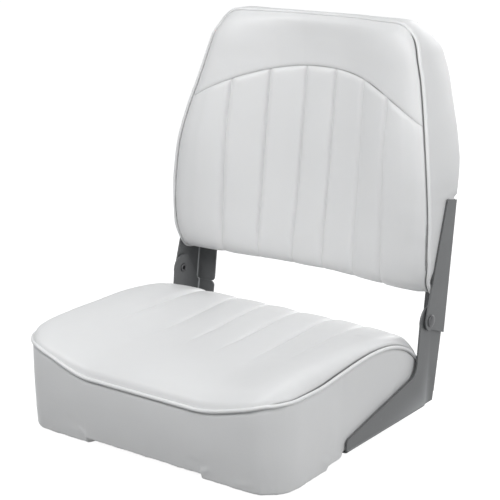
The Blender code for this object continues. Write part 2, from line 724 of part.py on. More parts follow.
def make_seat_boxing(parent):
    """The seat's side band: from the piping down to the pan, and folded under it as a hem."""
    steps = [seat_side_share(y + k * STEP_SPREAD) for y in (FRONT_FOOT_REAR_Y, BRACKET_ZONE_FRONT_Y) for k in (-1, 1)]
    rows = sorted([row for row in SEAT_ROWS if row and not steps[0] < row < steps[-1]] + steps)
    lobes = [side * (FRONT_FOOT_INNER_X + k * STEP_SPREAD) / SEAT_HALF_WIDTH for side in (-1, 1) for k in (-1, 1)]
    places = seam_places(rows, SEAT.fronts(lobes))
    normals = plan_normals([Vector((*seat_base(side, share, 0), 0)) for side, share in places])
    heights = (0, 0.25, 0.6, 1)
    rings = [[] for _ in range(len(heights) + 2)]
    for (side, share), normal in zip(places, normals):
        outward = SEAT.outward(SEAT.rim, share) if share else Vector((0, 1))
        seam = place_seat(SEAT.seam(side, share) - Vector((0, *outward)) * BOXING_GAP)
        base = seat_base(side, share, 0)
        level = cover_level(base.x, base.y)
        fold = SMALL_FOLD + (HEM_FOLD - SMALL_FOLD) * under_foot(base.x, base.y)
        foot = Vector((base.x, base.y, level + fold))
        bulge = SEAT_BULGE * (1 - smooth_step(base.y, FRONT_FOOT_REAR_Y, BRACKET_ZONE_FRONT_Y))
        for row, height in enumerate(heights):
            point = seam.lerp(foot, height)
            point.xy += normal * bulge * 4 * height * (1 - height)
            if base.y > BRACKET_ZONE_FRONT_Y - OVERRUN:
                point.x = math.copysign(min(abs(point.x), COVER_LIMIT_X), point.x)
            rings[row].append(point)
        rings[-2].append(Vector((*seat_base(side, share, fold), level)))
        rings[-1].append(Vector((*seat_base(side, share, HEM_WIDTH), level)))
    bm = strip_sheet(rings)
    bm.normal_update()
    bm.faces.ensure_lookup_table()
    middle = bm.faces[len(bm.faces) // 2]
    if middle.normal.dot(Vector((middle.calc_center_median().x, middle.calc_center_median().y, 0))) < 0:
        bmesh.ops.reverse_faces(bm, faces=bm.faces)
    skin(add_object("seat_boxing", mesh_of(bm), "vinyl", parent))


def make_seat_cover(parent):
    """The seat's top panel, which rolls over the rear edge and folds under the pan."""
    across = columns()
    fold, hem = range(2, 4)
    down = [*SEAT_ROWS, fold, hem]

    def point_at(column, row):
        if row <= 1:
            return place_seat(SEAT.surface(column, row, SEAM_INSET))
        end = place_seat(SEAT.surface(column, 1, SEAM_INSET))
        level = cover_level(end.x, end.y)
        beside_boxing = abs(end.x) > BRACKET_ZONE_INNER_X
        width = HEM_FOLD if beside_boxing else HEM_WIDTH
        return Vector((end.x, end.y - (HEM_FOLD / 2 if row == fold else width), level))

    bm = faced(sheet_grid(across, down, point_at), (0, 0, 1))
    skin(add_object("seat_top_panel", mesh_of(bm), "vinyl", parent))


def make_seat_foam(parent):
    """The foam block under the seat's cover, flat on the pan's deck."""
    rows = SEAT_ROWS[:-1]
    base = DECK_Z + CLEARANCE
    lower = COVER + CHANNEL_DEPTH + FOAM_SLACK

    def top_at(column, row):
        return place_seat(SEAT.surface(column, row, inset=SEAT_FOAM_INSET, lower=lower))

    def base_at(column, row):
        x, y, _ = place_seat(SEAT.surface(column, row, inset=SEAT_FOAM_INSET))
        front = SEAT_FRONT + SEAT_FOAM_INSET
        limit = front + (PAN_REAR - front) * row / rows[-1]
        return Vector((x, min(y, limit) if row > rows[3] else y, base))

    add_object("seat_foam", mesh_of(slab_grid(both_ways(FOAM_COLUMNS), rows, top_at, base_at)), "foam", parent)


def pan_outline(inset):
    """The pan's outline in plan, moved in by the inset."""
    front = (PAN_FRONT + inset, PAN_FRONT_CORNER - inset)
    rear = (PAN_REAR - inset, PAN_REAR_CORNER - inset)
    right = [((PAN_HALF_WIDTH - inset - pan_taper(y), y), radius)
             for y, radius in (front, (FRONT_FOOT_REAR_Y, 0), (PAN_TAPER_END_Y, 0), rear)]
    left = [((-x, y), radius) for (x, y), radius in reversed(right)]
    return filleted(right + left)


def pan_cells(bm):
    """The pockets between the pan's ribs, open at the bottom."""
    across = 2 * (PAN_HALF_WIDTH - SKIRT) / RIB_CELLS_ACROSS
    depth = (PAN_REAR - PAN_FRONT - 2 * SKIRT) / RIB_CELLS_ALONG
    for i in range(RIB_CELLS_ACROSS):
        for j in range(RIB_CELLS_ALONG):
            x = -PAN_HALF_WIDTH + SKIRT + i * across
            y = PAN_FRONT + SKIRT + j * depth
            corners = ((x, y), (x + across, y), (x + across, y + depth), (x, y + depth))
            half = RIB_THICKNESS / 2
            centre = Vector((x + across / 2, y + depth / 2))
            inner = [Vector(corner) - Vector((math.copysign(half, corner[0] - centre.x),
                                              math.copysign(half, corner[1] - centre.y))) for corner in corners]
            prism(bm, inner, -FOOT_DEPTH - OVERRUN, DECK_Z - DECK_THICKNESS)


def foot_outline(side, inset):
    """The sole of a front foot in plan: round at the pan's corner and square inside."""
    outer = HEM_WIDTH + CLEARANCE + inset
    corner = PAN_FRONT_CORNER - outer
    low, high = FRONT_FOOT_INNER_X + inset + CLEARANCE, PAN_HALF_WIDTH - outer
    small = FOOT_CORNER - inset
    if side > 0:
        return rounded_rectangle(low, high, PAN_FRONT + outer, FRONT_FOOT_REAR_Y - inset - CLEARANCE,
                                 (small, corner, small, small))
    return rounded_rectangle(-high, -low, PAN_FRONT + outer, FRONT_FOOT_REAR_Y - inset - CLEARANCE,
                             (corner, small, small, small))


def pan_screw_places():
    """The centres of the screws that hold the brackets to the pan."""
    return [(side * PAN_SCREW_X, y) for side in (-1, 1) for y in PAN_SCREW_YS]


def bolt_places():
    """The centres of the threaded inserts."""
    half = BOLT_SPACING / 2
    return [(sx * half, sy * half) for sy in (-1, 1) for sx in (-1, 1)]


def helper(name, bm):
    """An object that only shapes another one."""
    return add_object(name, mesh_of(facing_out(bm), smooth=False), None)


def make_pan(parent):
    """The moulded pan: deck, skirt and ribs, with feet at its corners and pads round its inserts."""
    bm = bmesh.new()
    levels = ((HEM_FOLD, FOOT_HEM_LEVEL), (0, FOOT_HEM_LEVEL + HEM_FOLD), (0, DECK_Z))
    stack(bm, [(pan_outline(inset), height) for inset, height in levels])
    pan = add_object("seat_pan", mesh_of(facing_out(bm)), "moulding", parent)

    relief = bmesh.new()
    wide = PAN_HALF_WIDTH + OVERRUN
    inner, rear = FRONT_FOOT_INNER_X + 2 * STEP_SPREAD, FRONT_FOOT_REAR_Y - 2 * STEP_SPREAD
    right = ((inner, PAN_FRONT - OVERRUN), (inner, rear), (wide, rear), (wide, PAN_REAR + OVERRUN))
    prism(relief, [*right, *((-x, y) for x, y in reversed(right))], 2 * FOOT_HEM_LEVEL, RIB_LEVEL)
    cut(pan, helper("pan_relief", relief))

    cells = bmesh.new()
    pan_cells(cells)
    cell_cutter = helper("pan_cells", cells)
    room = bmesh.new()
    prism(room, pan_outline(SKIRT), -FOOT_DEPTH - 2 * OVERRUN, DECK_Z)
    cut(cell_cutter, helper("pan_room", room), "INTERSECT")
    cut(pan, cell_cutter)

    pads = bmesh.new()
    top = DECK_Z - DECK_THICKNESS / 2
    for side in (-1, 1):
        ring(pads, foot_outline(side, 0), foot_outline(side, FOOT_WALL), -FOOT_DEPTH, top)
        low, high = sorted((side * REAR_FOOT_INNER_X, side * REAR_FOOT_OUTER_X))
        outer = rounded_rectangle(low, high, REAR_FOOT_FRONT_Y, REAR_FOOT_REAR_Y, (FOOT_CORNER,) * 4)
        inner = rounded_rectangle(low + FOOT_WALL, high - FOOT_WALL, REAR_FOOT_FRONT_Y + FOOT_WALL,
                                  REAR_FOOT_REAR_Y - FOOT_WALL, (FOOT_CORNER - FOOT_WALL,) * 4)
        ring(pads, outer, inner, -FOOT_DEPTH, top)
    rounds = [(place, TNUT_BOSS_RADIUS, 0) for place in bolt_places()] + [((0, 0), HUB_RADIUS, 0)]
    rounds += [(place, SCREW_BOSS_RADIUS, BRACKET_PAN_LEVEL) for place in pan_screw_places()]
    for (x, y), radius, low in rounds:
        profile = ((0, low), (radius, low), (radius, top), (0, top))
        turned(pads, profile, ROUND_SIDES, Matrix.Translation((x, y, 0)))
    cut(pan, helper("pan_pads", pads), "UNION")

    notches = bmesh.new()
    for side in (-1, 1):
        low, high = sorted((side * NOTCH_INNER_X, side * (PAN_HALF_WIDTH + OVERRUN)))
        front = BRACKET_ZONE_FRONT_Y - 2 * STEP_SPREAD
        outline = rounded_rectangle(low, high, front, PAN_REAR + OVERRUN, (0,) * 4)
        prism(notches, outline, -FOOT_DEPTH - OVERRUN, BRACKET_PAN_LEVEL)
    cut(pan, helper("pan_notches", notches))

    holes = bmesh.new()
    bore = TNUT_BARREL_RADIUS + CLEARANCE
    seat = TNUT_FLANGE_RADIUS + CLEARANCE
    shelf = DECK_Z - TNUT_FLANGE_THICKNESS - 2 * CLEARANCE
    stepped = ((0, -OVERRUN), (bore, -OVERRUN), (bore, shelf), (seat, shelf), (seat, DECK_Z + OVERRUN),
               (0, DECK_Z + OVERRUN))
    for x, y in bolt_places():
        turned(holes, stepped, ROUND_SIDES, Matrix.Translation((x, y, 0)))
    pilot_top = BRACKET_UNDERSIDE + PAN_SCREW_LENGTH + CLEARANCE
    pilot = ((0, 0), (SCREW_HOLE_RADIUS, 0), (SCREW_HOLE_RADIUS, pilot_top), (0, pilot_top))
    for x, y in pan_screw_places():
        turned(holes, pilot, SMALL_SIDES, Matrix.Translation((x, y, 0)))
    cut(pan, helper("pan_holes", holes))


def make_inserts(parent):
    """The threaded inserts of the bolt pattern, let into the pan's deck."""
    top = DECK_Z - CLEARANCE
    shelf = top - TNUT_FLANGE_THICKNESS
    profile = ((TNUT_BORE_RADIUS, TNUT_END_Z), (TNUT_BARREL_RADIUS, TNUT_END_Z), (TNUT_BARREL_RADIUS, shelf),
               (TNUT_FLANGE_RADIUS, shelf), (TNUT_FLANGE_RADIUS, top), (TNUT_BORE_RADIUS, top))
    names = ("front_right", "front_left", "rear_right", "rear_left")
    for name, (x, y) in zip(names, bolt_places()):
        add_object(f"t_nut_{name}", turned_mesh(profile, ROUND_SIDES, Matrix.Translation((x, y, 0))), "zinc", parent)


# Back pieces

def arch_share(position):
    """The share down the back's front panel at which the arched seam crosses a column."""
    low, high = 0, 0.6
    for _ in range(30):
        middle = (low + high) / 2
        point = place_back(BACK.surface(position, middle))
        seam = ARCH_HEIGHT - ARCH_DROP * (point.x / BACK_HALF_WIDTH / along(BACK_WIDTH_SHARES, 1 / 3)) ** 2
        if point.z > seam:
            low = middle
        else:
            high = middle
    return low


REAR_COLUMNS = (-1, -0.93, -0.83, -0.4, 0, 0.4, 0.83, 0.93, 1)
UPPER_ROWS = (0, 0.13, 0.33, 0.66, 0.94, 1)
LOWER_ROWS = (0, 0.03, 0.18, 0.34, 0.4675, 0.7, 0.8, 0.88, 0.94, 1)


def back_rows():
    """The shares along the back's seam that its pieces share, so that their edges follow each other."""
    arch = arch_share(1)
    upper = [row * arch for row in UPPER_ROWS if row < 0.9]
    return upper + [arch + row * (1 - arch) for row in LOWER_ROWS if row != LOWER_ROWS[1]]


def make_back_panels(parent):
    """The back's plain upper panel and channelled lower panel, which meet in an arched seam."""
    half_gap = CLEARANCE / BACK_HEIGHT

    def upper_at(column, row):
        end = arch_share(column) - half_gap
        tuck = ARCH_TUCK * (1 - BACK.edge_drop(abs(column))) if row == 1 else 0
        return place_back(BACK.surface(column, row * end, SEAM_INSET, tuck, channels=False))

    def lower_at(column, row):
        start = arch_share(column) + half_gap
        tuck = ARCH_TUCK * (1 - BACK.edge_drop(abs(column))) if row == 0 else 0
        return place_back(BACK.surface(column, start + row * (1 - start), SEAM_INSET, tuck))

    upper = faced(sheet_grid(columns(), UPPER_ROWS, upper_at), (0, -1, 0))
    lower = faced(sheet_grid(columns(), LOWER_ROWS, lower_at), (0, -1, 0))
    skin(add_object("back_upper_panel", mesh_of(upper), "vinyl", parent))
    skin(add_object("back_lower_panel", mesh_of(lower), "vinyl", parent))


def back_outline(position, share, inset):
    """(x, run) on the back's rear face, whose edge is moved in by the inset; run is down from the top."""
    run = BACK_HEIGHT * along(BACK_REAR_HEIGHT_SHARES, share)
    above_arm = BACK_TOP - run > ARM_TOP_Z + ARM_TOP_RISE
    limit = HINGE_OUTER_X if above_arm else BACK_COVER_LIMIT_X
    half = min(BACK.half(share) + REAR_SPREAD * along(REAR_SPREAD_SHARES, share), limit)
    x, run = round_corner(position * half, run, BACK.half(0), BACK_CORNER)
    centre_run = BACK_HEIGHT * BACK_REAR_HEIGHT_SHARES[-1] / 2
    return x * (1 - inset / BACK.half(0)), centre_run + (run - centre_run) * (1 - inset / centre_run)


def rear_point(position, share, inset, depth):
    """A place on the back's rear face, or depth in front of it."""
    x, run = back_outline(position, share, inset)
    return Vector((x, back_rear_y(run / BACK_HEIGHT) - depth, BACK_TOP - run))


def make_back_boxing(parent):
    """The back's side band, over its sides and top, and turned in round its rear edge."""
    heights = (0, 0.12, 0.4, 0.75)
    rings = [[] for _ in range(len(heights) + 3)]
    for side, share in seam_places(back_rows()[1:], BACK.fronts()):
        outward = BACK.outward(BACK.rim, share) if share else Vector((0, 1))
        start = place_back(BACK.seam(side, share)) + Vector((0, outward.y, outward.x)) * BOXING_GAP
        start.x = math.copysign(min(abs(start.x), BACK_COVER_LIMIT_X), start.x)
        rear = rear_point(side, share, 0, HEM_FOLD)
        for row, height in enumerate(heights):
            rings[row].append(start.lerp(rear, height))
        rings[-3].append(rear)
        rings[-2].append(rear_point(side, share, HEM_FOLD, 0))
        rings[-1].append(rear_point(side, share, REAR_WRAP, 0))
    bm = strip_sheet(rings)
    bm.normal_update()
    bm.faces.ensure_lookup_table()
    middle = max(bm.faces, key=lambda face: face.calc_center_median().x)
    if middle.normal.x < 0:
        bmesh.ops.reverse_faces(bm, faces=bm.faces)
    skin(add_object("back_boxing", mesh_of(bm), "vinyl", parent))


def make_back_shell(parent):
    """The moulded shell inside the back, which the arms are screwed to."""
    outer = COVER + BOARD_GAP
    bm = slab_grid(REAR_COLUMNS, back_rows(),
                   lambda column, row: rear_point(column, row, SHELL_INSET, outer + SHELL_THICKNESS),
                   lambda column, row: rear_point(column, row, SHELL_INSET, outer))
    shell = add_object("back_shell", mesh_of(bm), "moulding", parent)
    cut(shell, arm_screw_cutter("shell_holes", CLEARANCE))


def make_back_rear_panel(parent):
    """The vinyl that closes the back's rear face."""
    inset = REAR_WRAP + 2 * CLEARANCE
    bm = faced(sheet_grid(REAR_COLUMNS, back_rows(), lambda column, row: rear_point(column, row, inset, 0)),
               (0, 1, 0))
    panel = add_object("back_rear_panel", mesh_of(bm), "vinyl", parent)
    skin(panel)
    cut(panel, arm_screw_cutter("rear_panel_holes", OVERRUN))


def make_back_foam(parent):
    """The foam in front of the back's shell."""
    lower = COVER + CHANNEL_DEPTH + ARCH_TUCK + FOAM_SLACK
    depth = COVER + SHELL_THICKNESS + 2 * BOARD_GAP
    bm = slab_grid(both_ways(FOAM_COLUMNS), back_rows(),
                   lambda column, row: place_back(BACK.surface(column, row, BACK_FOAM_INSET, lower)),
                   lambda column, row: rear_point(column, row, BACK_FOAM_INSET, depth))
    add_object("back_foam", mesh_of(bm), "foam", parent)


# Hinge pieces

def fold_flange(bm, edge, outward, side_width):
    """Bends a flange off a plate's edge: an arc of the bend's outer radius, then a straight run.

    The plate's outer face looks along X, outward is the direction past its edge, and side_width is how
    far the flange reaches from the plate's outer face.
    """
    axis = Vector((1, 0, 0)).cross(outward)
    centre = edge.verts[0].co - Vector((BEND_RADIUS, 0, 0))
    bent = bmesh.ops.spin(bm, geom=[edge, *edge.verts], cent=centre, axis=axis, dvec=(0, 0, 0),
                          angle=math.pi / 2, steps=BEND_STEPS, use_duplicate=False)
    last = [part for part in bent["geom_last"] if isinstance(part, bmesh.types.BMEdge)]
    run = bmesh.ops.extrude_edge_only(bm, edges=last)
    free = [part for part in run["geom"] if isinstance(part, bmesh.types.BMVert)]
    bmesh.ops.translate(bm, verts=free, vec=(BEND_RADIUS - side_width, 0, 0))
    bmesh.ops.bevel(bm, geom=free, offset=FLANGE_CORNER, segments=BEND_STEPS, affect="VERTICES", profile=0.5)


def plate(outline, outer_x, flanges):
    """A bent sheet piece: an upright plate of a (y, z) outline, with flanges bent in from its edges.

    Each flange is (first point's index, outward direction in y and z, reach across).
    """
    bm = bmesh.new()
    verts = [bm.verts.new((outer_x, y, z)) for y, z in outline]
    bm.faces.new(verts)
    for index, outward, reach in flanges:
        edge = bm.edges.get((verts[index], verts[(index + 1) % len(verts)]))
        fold_flange(bm, edge, Vector((0, *outward)), reach)
    bm.normal_update()
    if bm.faces[:][0].normal.x < 0:
        bmesh.ops.reverse_faces(bm, faces=bm.faces)
    bmesh.ops.recalc_face_normals(bm, faces=bm.faces)
    bm.faces.ensure_lookup_table()
    flat = max(bm.faces, key=lambda face: face.calc_area())
    if flat.normal.x < 0:
        bmesh.ops.reverse_faces(bm, faces=bm.faces)
    return mesh_of(bm)


def circle_points(centre, radius, start, end, steps):
    """Points of an arc in the (y, z) plane, with its angles in degrees."""
    return [Vector(centre) + radius * Vector((math.cos(angle), math.sin(angle)))
            for angle in (math.radians(start + (end - start) * k / steps) for k in range(steps + 1))]


def square_to(start, end):
    """The direction square to a line, on its right-hand side."""
    step = (Vector(end) - Vector(start)).normalized()
    return Vector((step.y, -step.x))


def bracket_outline():
    """The lower bracket's plate, with the indices of its base edge and its rear edge."""
    edge_z = BRACKET_UNDERSIDE + BEND_RADIUS
    rear = Vector((-BEND_RADIUS, 0))
    heel_z = edge_z + BRACKET_HEEL_GAP
    points = [Vector((BRACKET_NOSE_Y + HEM_FOLD, edge_z)), Vector((BRACKET_REAR_FOOT_Y - 2 * BRACKET_HEEL_GAP, edge_z)),
              Vector((bracket_rear_y(edge_z), edge_z)) + rear, Vector((bracket_rear_y(heel_z), heel_z)) + rear,
              Vector((bracket_rear_y(STOP_Z), STOP_Z)) + rear]
    points += circle_points((PIVOT_Y, PIVOT_Z), BRACKET_EYE_RADIUS, 48, 190, 2 * ARC_STEPS)
    throat = (BRACKET_THROAT_Y, BRACKET_THROAT_Z)
    nose = (BRACKET_NOSE_Y, BRACKET_NOSE_TOP)
    tail = [(points[-1], 0), (throat, BRACKET_THROAT_RADIUS), (nose, BRACKET_NOSE_RADIUS),
            ((BRACKET_NOSE_Y, edge_z), 0)]
    return points + filleted(tail)[1:], 0, 3


def arm_outline():
    """The upper arm's plate, with the index of its rear edge."""
    rear = Vector((-BEND_RADIUS, 0))
    foot_z = STOP_Z + CLEARANCE
    top_front = (ARM_TOP_Y - ARM_TOP_WIDTH, ARM_TOP_Z + ARM_TOP_RISE)
    corners = filleted([((arm_rear_y(ARM_TOP_Z) - BEND_RADIUS, ARM_TOP_Z), 0), (top_front, ARM_TOP_RADIUS),
                        ((PIVOT_Y - ARM_EYE_RADIUS, PIVOT_Z), 0)])
    points = [Vector((arm_rear_y(foot_z), foot_z)) + rear] + corners[:-1]
    return points + circle_points((PIVOT_Y, PIVOT_Z), ARM_EYE_RADIUS, 172, 285, 2 * ARC_STEPS), 0


def flange_normal():
    """The direction square to the arm's rear flange, towards the rear."""
    return Vector((0, *square_to((STOP_Y, STOP_Z), (ARM_TOP_Y, ARM_TOP_Z))))


def arm_screw_places(side):
    """The places of an arm's screws on the rear face of its flange."""
    heights = [ARM_SCREW_FIRST_Z + k * ARM_SCREW_PITCH for k in range(ARM_SCREW_COUNT)]
    return [Vector((side * ARM_SCREW_X, arm_rear_y(z), z)) for z in heights]


def aimed(point, direction):
    """The matrix that puts a piece turned about Z at a point, with its Z along the direction."""
    return Matrix.Translation(point) @ direction.to_track_quat("Z", "Y").to_matrix().to_4x4()


def arm_screw_cutter(name, slack):
    """A cutter for the holes of all arm screws, slack longer than the screws."""
    bm = bmesh.new()
    depth = ARM_SCREW_LENGTH + slack
    profile = ((0, -depth), (SCREW_HOLE_RADIUS, -depth), (SCREW_HOLE_RADIUS, OVERRUN), (0, OVERRUN))
    for side in (-1, 1):
        for point in arm_screw_places(side):
            turned(bm, profile, SMALL_SIDES, aimed(point, flange_normal()))
    return helper(name, bm)


def pivot_cutter(name):
    """A cutter for the rivet's hole through both plates of both hinges."""
    bm = bmesh.new()
    low, high = BRACKET_INNER_X - OVERRUN, HINGE_OUTER_X + OVERRUN
    profile = ((0, low), (RIVET_HOLE_RADIUS, low), (RIVET_HOLE_RADIUS, high), (0, high))
    for side in (-1, 1):
        turned(bm, profile, ROUND_SIDES, aimed(Vector((0, PIVOT_Y, PIVOT_Z)), Vector((side, 0, 0))))
    return helper(name, bm)


def pan_screw_cutter():
    """A cutter for the screw holes in the brackets' base flanges."""
    bm = bmesh.new()
    profile = ((0, 0), (SCREW_HOLE_RADIUS, 0), (SCREW_HOLE_RADIUS, PIVOT_Z / 2), (0, PIVOT_Z / 2))
    for x, y in pan_screw_places():
        turned(bm, profile, SMALL_SIDES, Matrix.Translation((x, y, 0)))
    return helper("bracket_screw_holes", bm)


def make_brackets(parent):
    """The lower brackets, screwed under the pan's sides."""
    outline, base, rear = bracket_outline()
    reach = BRACKET_OUTER_X - FLANGE_EDGE_X
    rear_side = square_to((bracket_rear_y(0), 0), (bracket_rear_y(STOP_Z), STOP_Z))
    mesh = plate(outline, BRACKET_OUTER_X,
                 ((base, (0, -1), BRACKET_OUTER_X - BASE_FLANGE_EDGE_X), (rear, rear_side, reach)))
    holes = pan_screw_cutter()
    pivots = pivot_cutter("bracket_pivot_holes")
    for bracket in add_pair("lower_bracket", mesh, "grey_paint", parent):
        skin(bracket, SHEET)
        cut(bracket, holes)
        cut(bracket, pivots)


def make_arms(parent):
    """The upper arms, which carry the back and turn outside the brackets."""
    outline, rear = arm_outline()
    rear_side = square_to((STOP_Y, STOP_Z), (ARM_TOP_Y, ARM_TOP_Z))
    mesh = plate(outline, HINGE_OUTER_X, ((rear, rear_side, HINGE_OUTER_X - FLANGE_EDGE_X),))
    screws = arm_screw_cutter("arm_screw_holes", CLEARANCE)
    pivots = pivot_cutter("arm_pivot_holes")
    for arm in add_pair("upper_arm", mesh, "grey_paint", parent):
        skin(arm, SHEET)
        cut(arm, screws)
        cut(arm, pivots)


def make_pivots(parent):
    """The rivets that the back turns on, and the washers between the plates."""
    face = HINGE_OUTER_X + CLEARANCE
    back = BRACKET_INNER_X - CLEARANCE
    roll = back - RIVET_ROLL_HEIGHT
    dome = [(RIVET_HEAD_RADIUS * math.cos(angle), face + RIVET_HEAD_HEIGHT * math.sin(angle))
            for angle in (math.pi / 2 * k / ARC_STEPS for k in range(ARC_STEPS))]
    rivet = [(0, roll + RIVET_BORE_DEPTH), (RIVET_BORE_RADIUS, roll + RIVET_BORE_DEPTH), (RIVET_BORE_RADIUS, roll),
             ((RIVET_BORE_RADIUS + RIVET_ROLL_RADIUS) / 2, roll - RIVET_ROLL_HEIGHT / 3),
             (RIVET_ROLL_RADIUS, roll + RIVET_ROLL_HEIGHT / 3), (RIVET_ROLL_RADIUS, back), (RIVET_RADIUS, back),
             (RIVET_RADIUS, face)] + dome + [(0, face + RIVET_HEAD_HEIGHT)]
    place = aimed(Vector((0, PIVOT_Y, PIVOT_Z)), Vector((1, 0, 0)))
    add_pair("hinge_rivet", turned_mesh(rivet, ROUND_SIDES, place), "zinc", parent)
    low = BRACKET_OUTER_X + CLEARANCE
    high = ARM_INNER_X - CLEARANCE
    washer = ((RIVET_HOLE_RADIUS, low), (WASHER_RADIUS, low), (WASHER_RADIUS, high), (RIVET_HOLE_RADIUS, high))
    add_pair("hinge_washer", turned_mesh(washer, ROUND_SIDES, place), "zinc", parent)


def screw_profile(length):
    """A pan-head screw from its tip to the recess in its head, with the head's seat at height 0."""
    top = SCREW_HEAD_HEIGHT + CLEARANCE
    return ((0, -length), (SCREW_SHANK_RADIUS / 2, -length), (SCREW_SHANK_RADIUS, -length + SCREW_SHANK_RADIUS),
            (SCREW_SHANK_RADIUS, CLEARANCE), (SCREW_HEAD_RADIUS, CLEARANCE), (SCREW_HEAD_RADIUS, top / 2),
            (SCREW_HEAD_RADIUS * 0.7, top), (SCREW_DRIVE_RADIUS, top), (SCREW_DRIVE_RADIUS, top - SCREW_DRIVE_DEPTH),
            (0, top - SCREW_DRIVE_DEPTH))


def make_screws(seat, back):
    """The screws of the brackets and of the arms."""
    for index, (x, y) in enumerate(pan_screw_places()):
        side = "right" if x < 0 else "left"
        end = "front" if y == PAN_SCREW_YS[0] else "rear"
        place = aimed(Vector((x, y, BRACKET_UNDERSIDE)), Vector((0, 0, -1)))
        add_object(f"bracket_screw_{side}_{end}", turned_mesh(screw_profile(PAN_SCREW_LENGTH), SMALL_SIDES, place),
                   "zinc", seat)
    for side, name in ((-1, "right"), (1, "left")):
        for number, point in enumerate(arm_screw_places(side), 1):
            place = aimed(point, flange_normal())
            add_object(f"arm_screw_{name}_{number}", turned_mesh(screw_profile(ARM_SCREW_LENGTH), SMALL_SIDES, place),
                       "zinc", back)


def add_empty(name, location):
    """An empty that pieces hang on."""
    made = bpy.data.objects.new(name, None)
    made.location = location
    bpy.context.scene.collection.objects.link(made)
    return made


def main():
    """Builds the whole seat, with the back standing against its stops."""
    clear_scene()
    seat = add_empty("seat_assembly", (0, 0, 0))
    back = add_empty("back_pivot", (0, PIVOT_Y, PIVOT_Z))
    make_pan(seat)
    make_inserts(seat)
    make_seat_foam(seat)
    make_seat_cover(seat)
    make_seat_boxing(seat)
    piping("seat_piping", SEAT, place_seat, SEAT_ROWS[1:], seat)
    make_brackets(seat)
    make_pivots(seat)
    make_arms(back)
    make_back_shell(back)
    make_back_foam(back)
    make_back_panels(back)
    make_back_boxing(back)
    piping("back_piping", BACK, place_back, back_rows()[1:], back)
    make_back_rear_panel(back)
    make_screws(seat, back)


main()
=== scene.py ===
"""Folding boat seat: white vinyl cushions over foam, painted steel hinges and a moulded pan.

Everything is in metres, +Z up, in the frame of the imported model: the sitter faces -Y, the hinges turn
about X, and the origin is the centre of the bolt pattern under the pan. The covers are modelled on the
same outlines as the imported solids, with their channels, seams, folds and stitches.
"""

import logging
import math
import random
from dataclasses import dataclass
from enum import Enum
from functools import lru_cache, reduce
from itertools import accumulate
from typing import Callable, Iterable, Iterator, NamedTuple, Sequence

import bmesh
import bpy
from bmesh.types import BMesh, BMVert
from bpy.types import ID, Material, Mesh, Node, NodeOutputs, NodeSocket, NodeTree, Object
from mathutils import Matrix, Vector, noise


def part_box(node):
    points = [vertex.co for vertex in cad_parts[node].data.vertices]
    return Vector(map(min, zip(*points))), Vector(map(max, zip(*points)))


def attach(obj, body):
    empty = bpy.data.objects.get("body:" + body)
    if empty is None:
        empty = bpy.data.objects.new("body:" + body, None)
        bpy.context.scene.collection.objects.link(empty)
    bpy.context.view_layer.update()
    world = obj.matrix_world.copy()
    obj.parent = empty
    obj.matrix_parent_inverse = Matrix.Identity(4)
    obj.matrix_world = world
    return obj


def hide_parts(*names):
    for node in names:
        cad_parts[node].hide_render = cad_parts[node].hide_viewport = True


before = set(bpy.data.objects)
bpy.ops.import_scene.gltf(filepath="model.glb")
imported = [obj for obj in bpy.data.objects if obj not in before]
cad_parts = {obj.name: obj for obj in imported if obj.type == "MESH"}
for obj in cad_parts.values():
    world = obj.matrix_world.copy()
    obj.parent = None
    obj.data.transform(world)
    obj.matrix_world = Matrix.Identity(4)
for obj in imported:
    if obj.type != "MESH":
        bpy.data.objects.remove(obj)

log = logging.getLogger("boat_seat")

# Painted shade: the mark, and the width of the dark line painted into the vinyl beside its seams.
SEAM_SHADE = "seam_shade"
SEAM_SHADE_WIDTH = 0.0010
# Painted highlight: the mark on the steel's inner bends, where the paint is made lighter as if the bend
# caught the light.
BEND_HIGHLIGHT = "bend_highlight"
FLAT_ANGLE = 0.3
ROUNDED_ANGLE = 40
BEND_ANGLE = 25
MICRON = 1e-6
MM = 1e-3
FAR = 1.0
OUTER_CHANNEL = 0.1356

Shares = tuple[tuple[float, float], ...]
Relief = tuple[float, float]
Pairs = Sequence[tuple[float, float]]


class Side(Enum):
    """The sitter's sides, by the sign of X."""

    LEFT = 1
    RIGHT = -1

    @property
    def word(self) -> str:
        """The side's name in the names of pieces."""
        return self.name.lower()


class Body(Enum):
    """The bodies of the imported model."""

    SEAT = "seat"
    BACK = "back"


class Slot(Enum):
    """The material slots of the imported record."""

    VINYL = "vinyl"
    PAINT = "grey_paint"
    ZINC = "zinc"
    FOAM = "foam"


# Numbers and curves


def ramp(value: float, low: float, high: float) -> float:
    """A soft ramp: 0 before low, 1 after high, and a smooth rise between them."""
    t = min(max((value - low) / (high - low), 0.0), 1.0)
    return t * t * (3 - 2 * t)


def bell(value: float, width: float) -> float:
    """A bell curve, 1 in its middle and about a third at its width."""
    return math.exp(-((value / width) ** 2))


def curve_at(rows: Sequence[tuple[float, ...]], share: float) -> tuple[float, ...]:
    """A place on the smooth curve through equally spaced rows.

    Args:
        rows: The rows, each of as many numbers.
        share: The share of the way from the first row to the last.

    Returns:
        The numbers there.
    """
    last = len(rows) - 1
    step = min(int(share * last), last - 1)
    t = share * last - step
    before, start, end, after = (rows[min(max(step + k, 0), last)] for k in (-1, 0, 1, 2))
    return tuple(
        b + 0.5 * t * ((c - a) + t * (2 * a - 5 * b + 4 * c - d) + t * t * (3 * (b - c) + d - a))
        for a, b, c, d in zip(before, start, end, after)
    )


def value_at(values: Sequence[float], share: float) -> float:
    """A place on the smooth curve through equally spaced values."""
    return curve_at([(value,) for value in values], share)[0]


def spaced(low: float, high: float, count: int) -> list[float]:
    """Equally spaced numbers from low to high, both included."""
    return [low + (high - low) * k / (count - 1) for k in range(count)]


def both_ways(half: Iterable[float]) -> list[float]:
    """A list from -1 to 1 out of its half from 0 to 1."""
    right = sorted(set(half))
    return [-value for value in reversed(right) if value > 0] + right


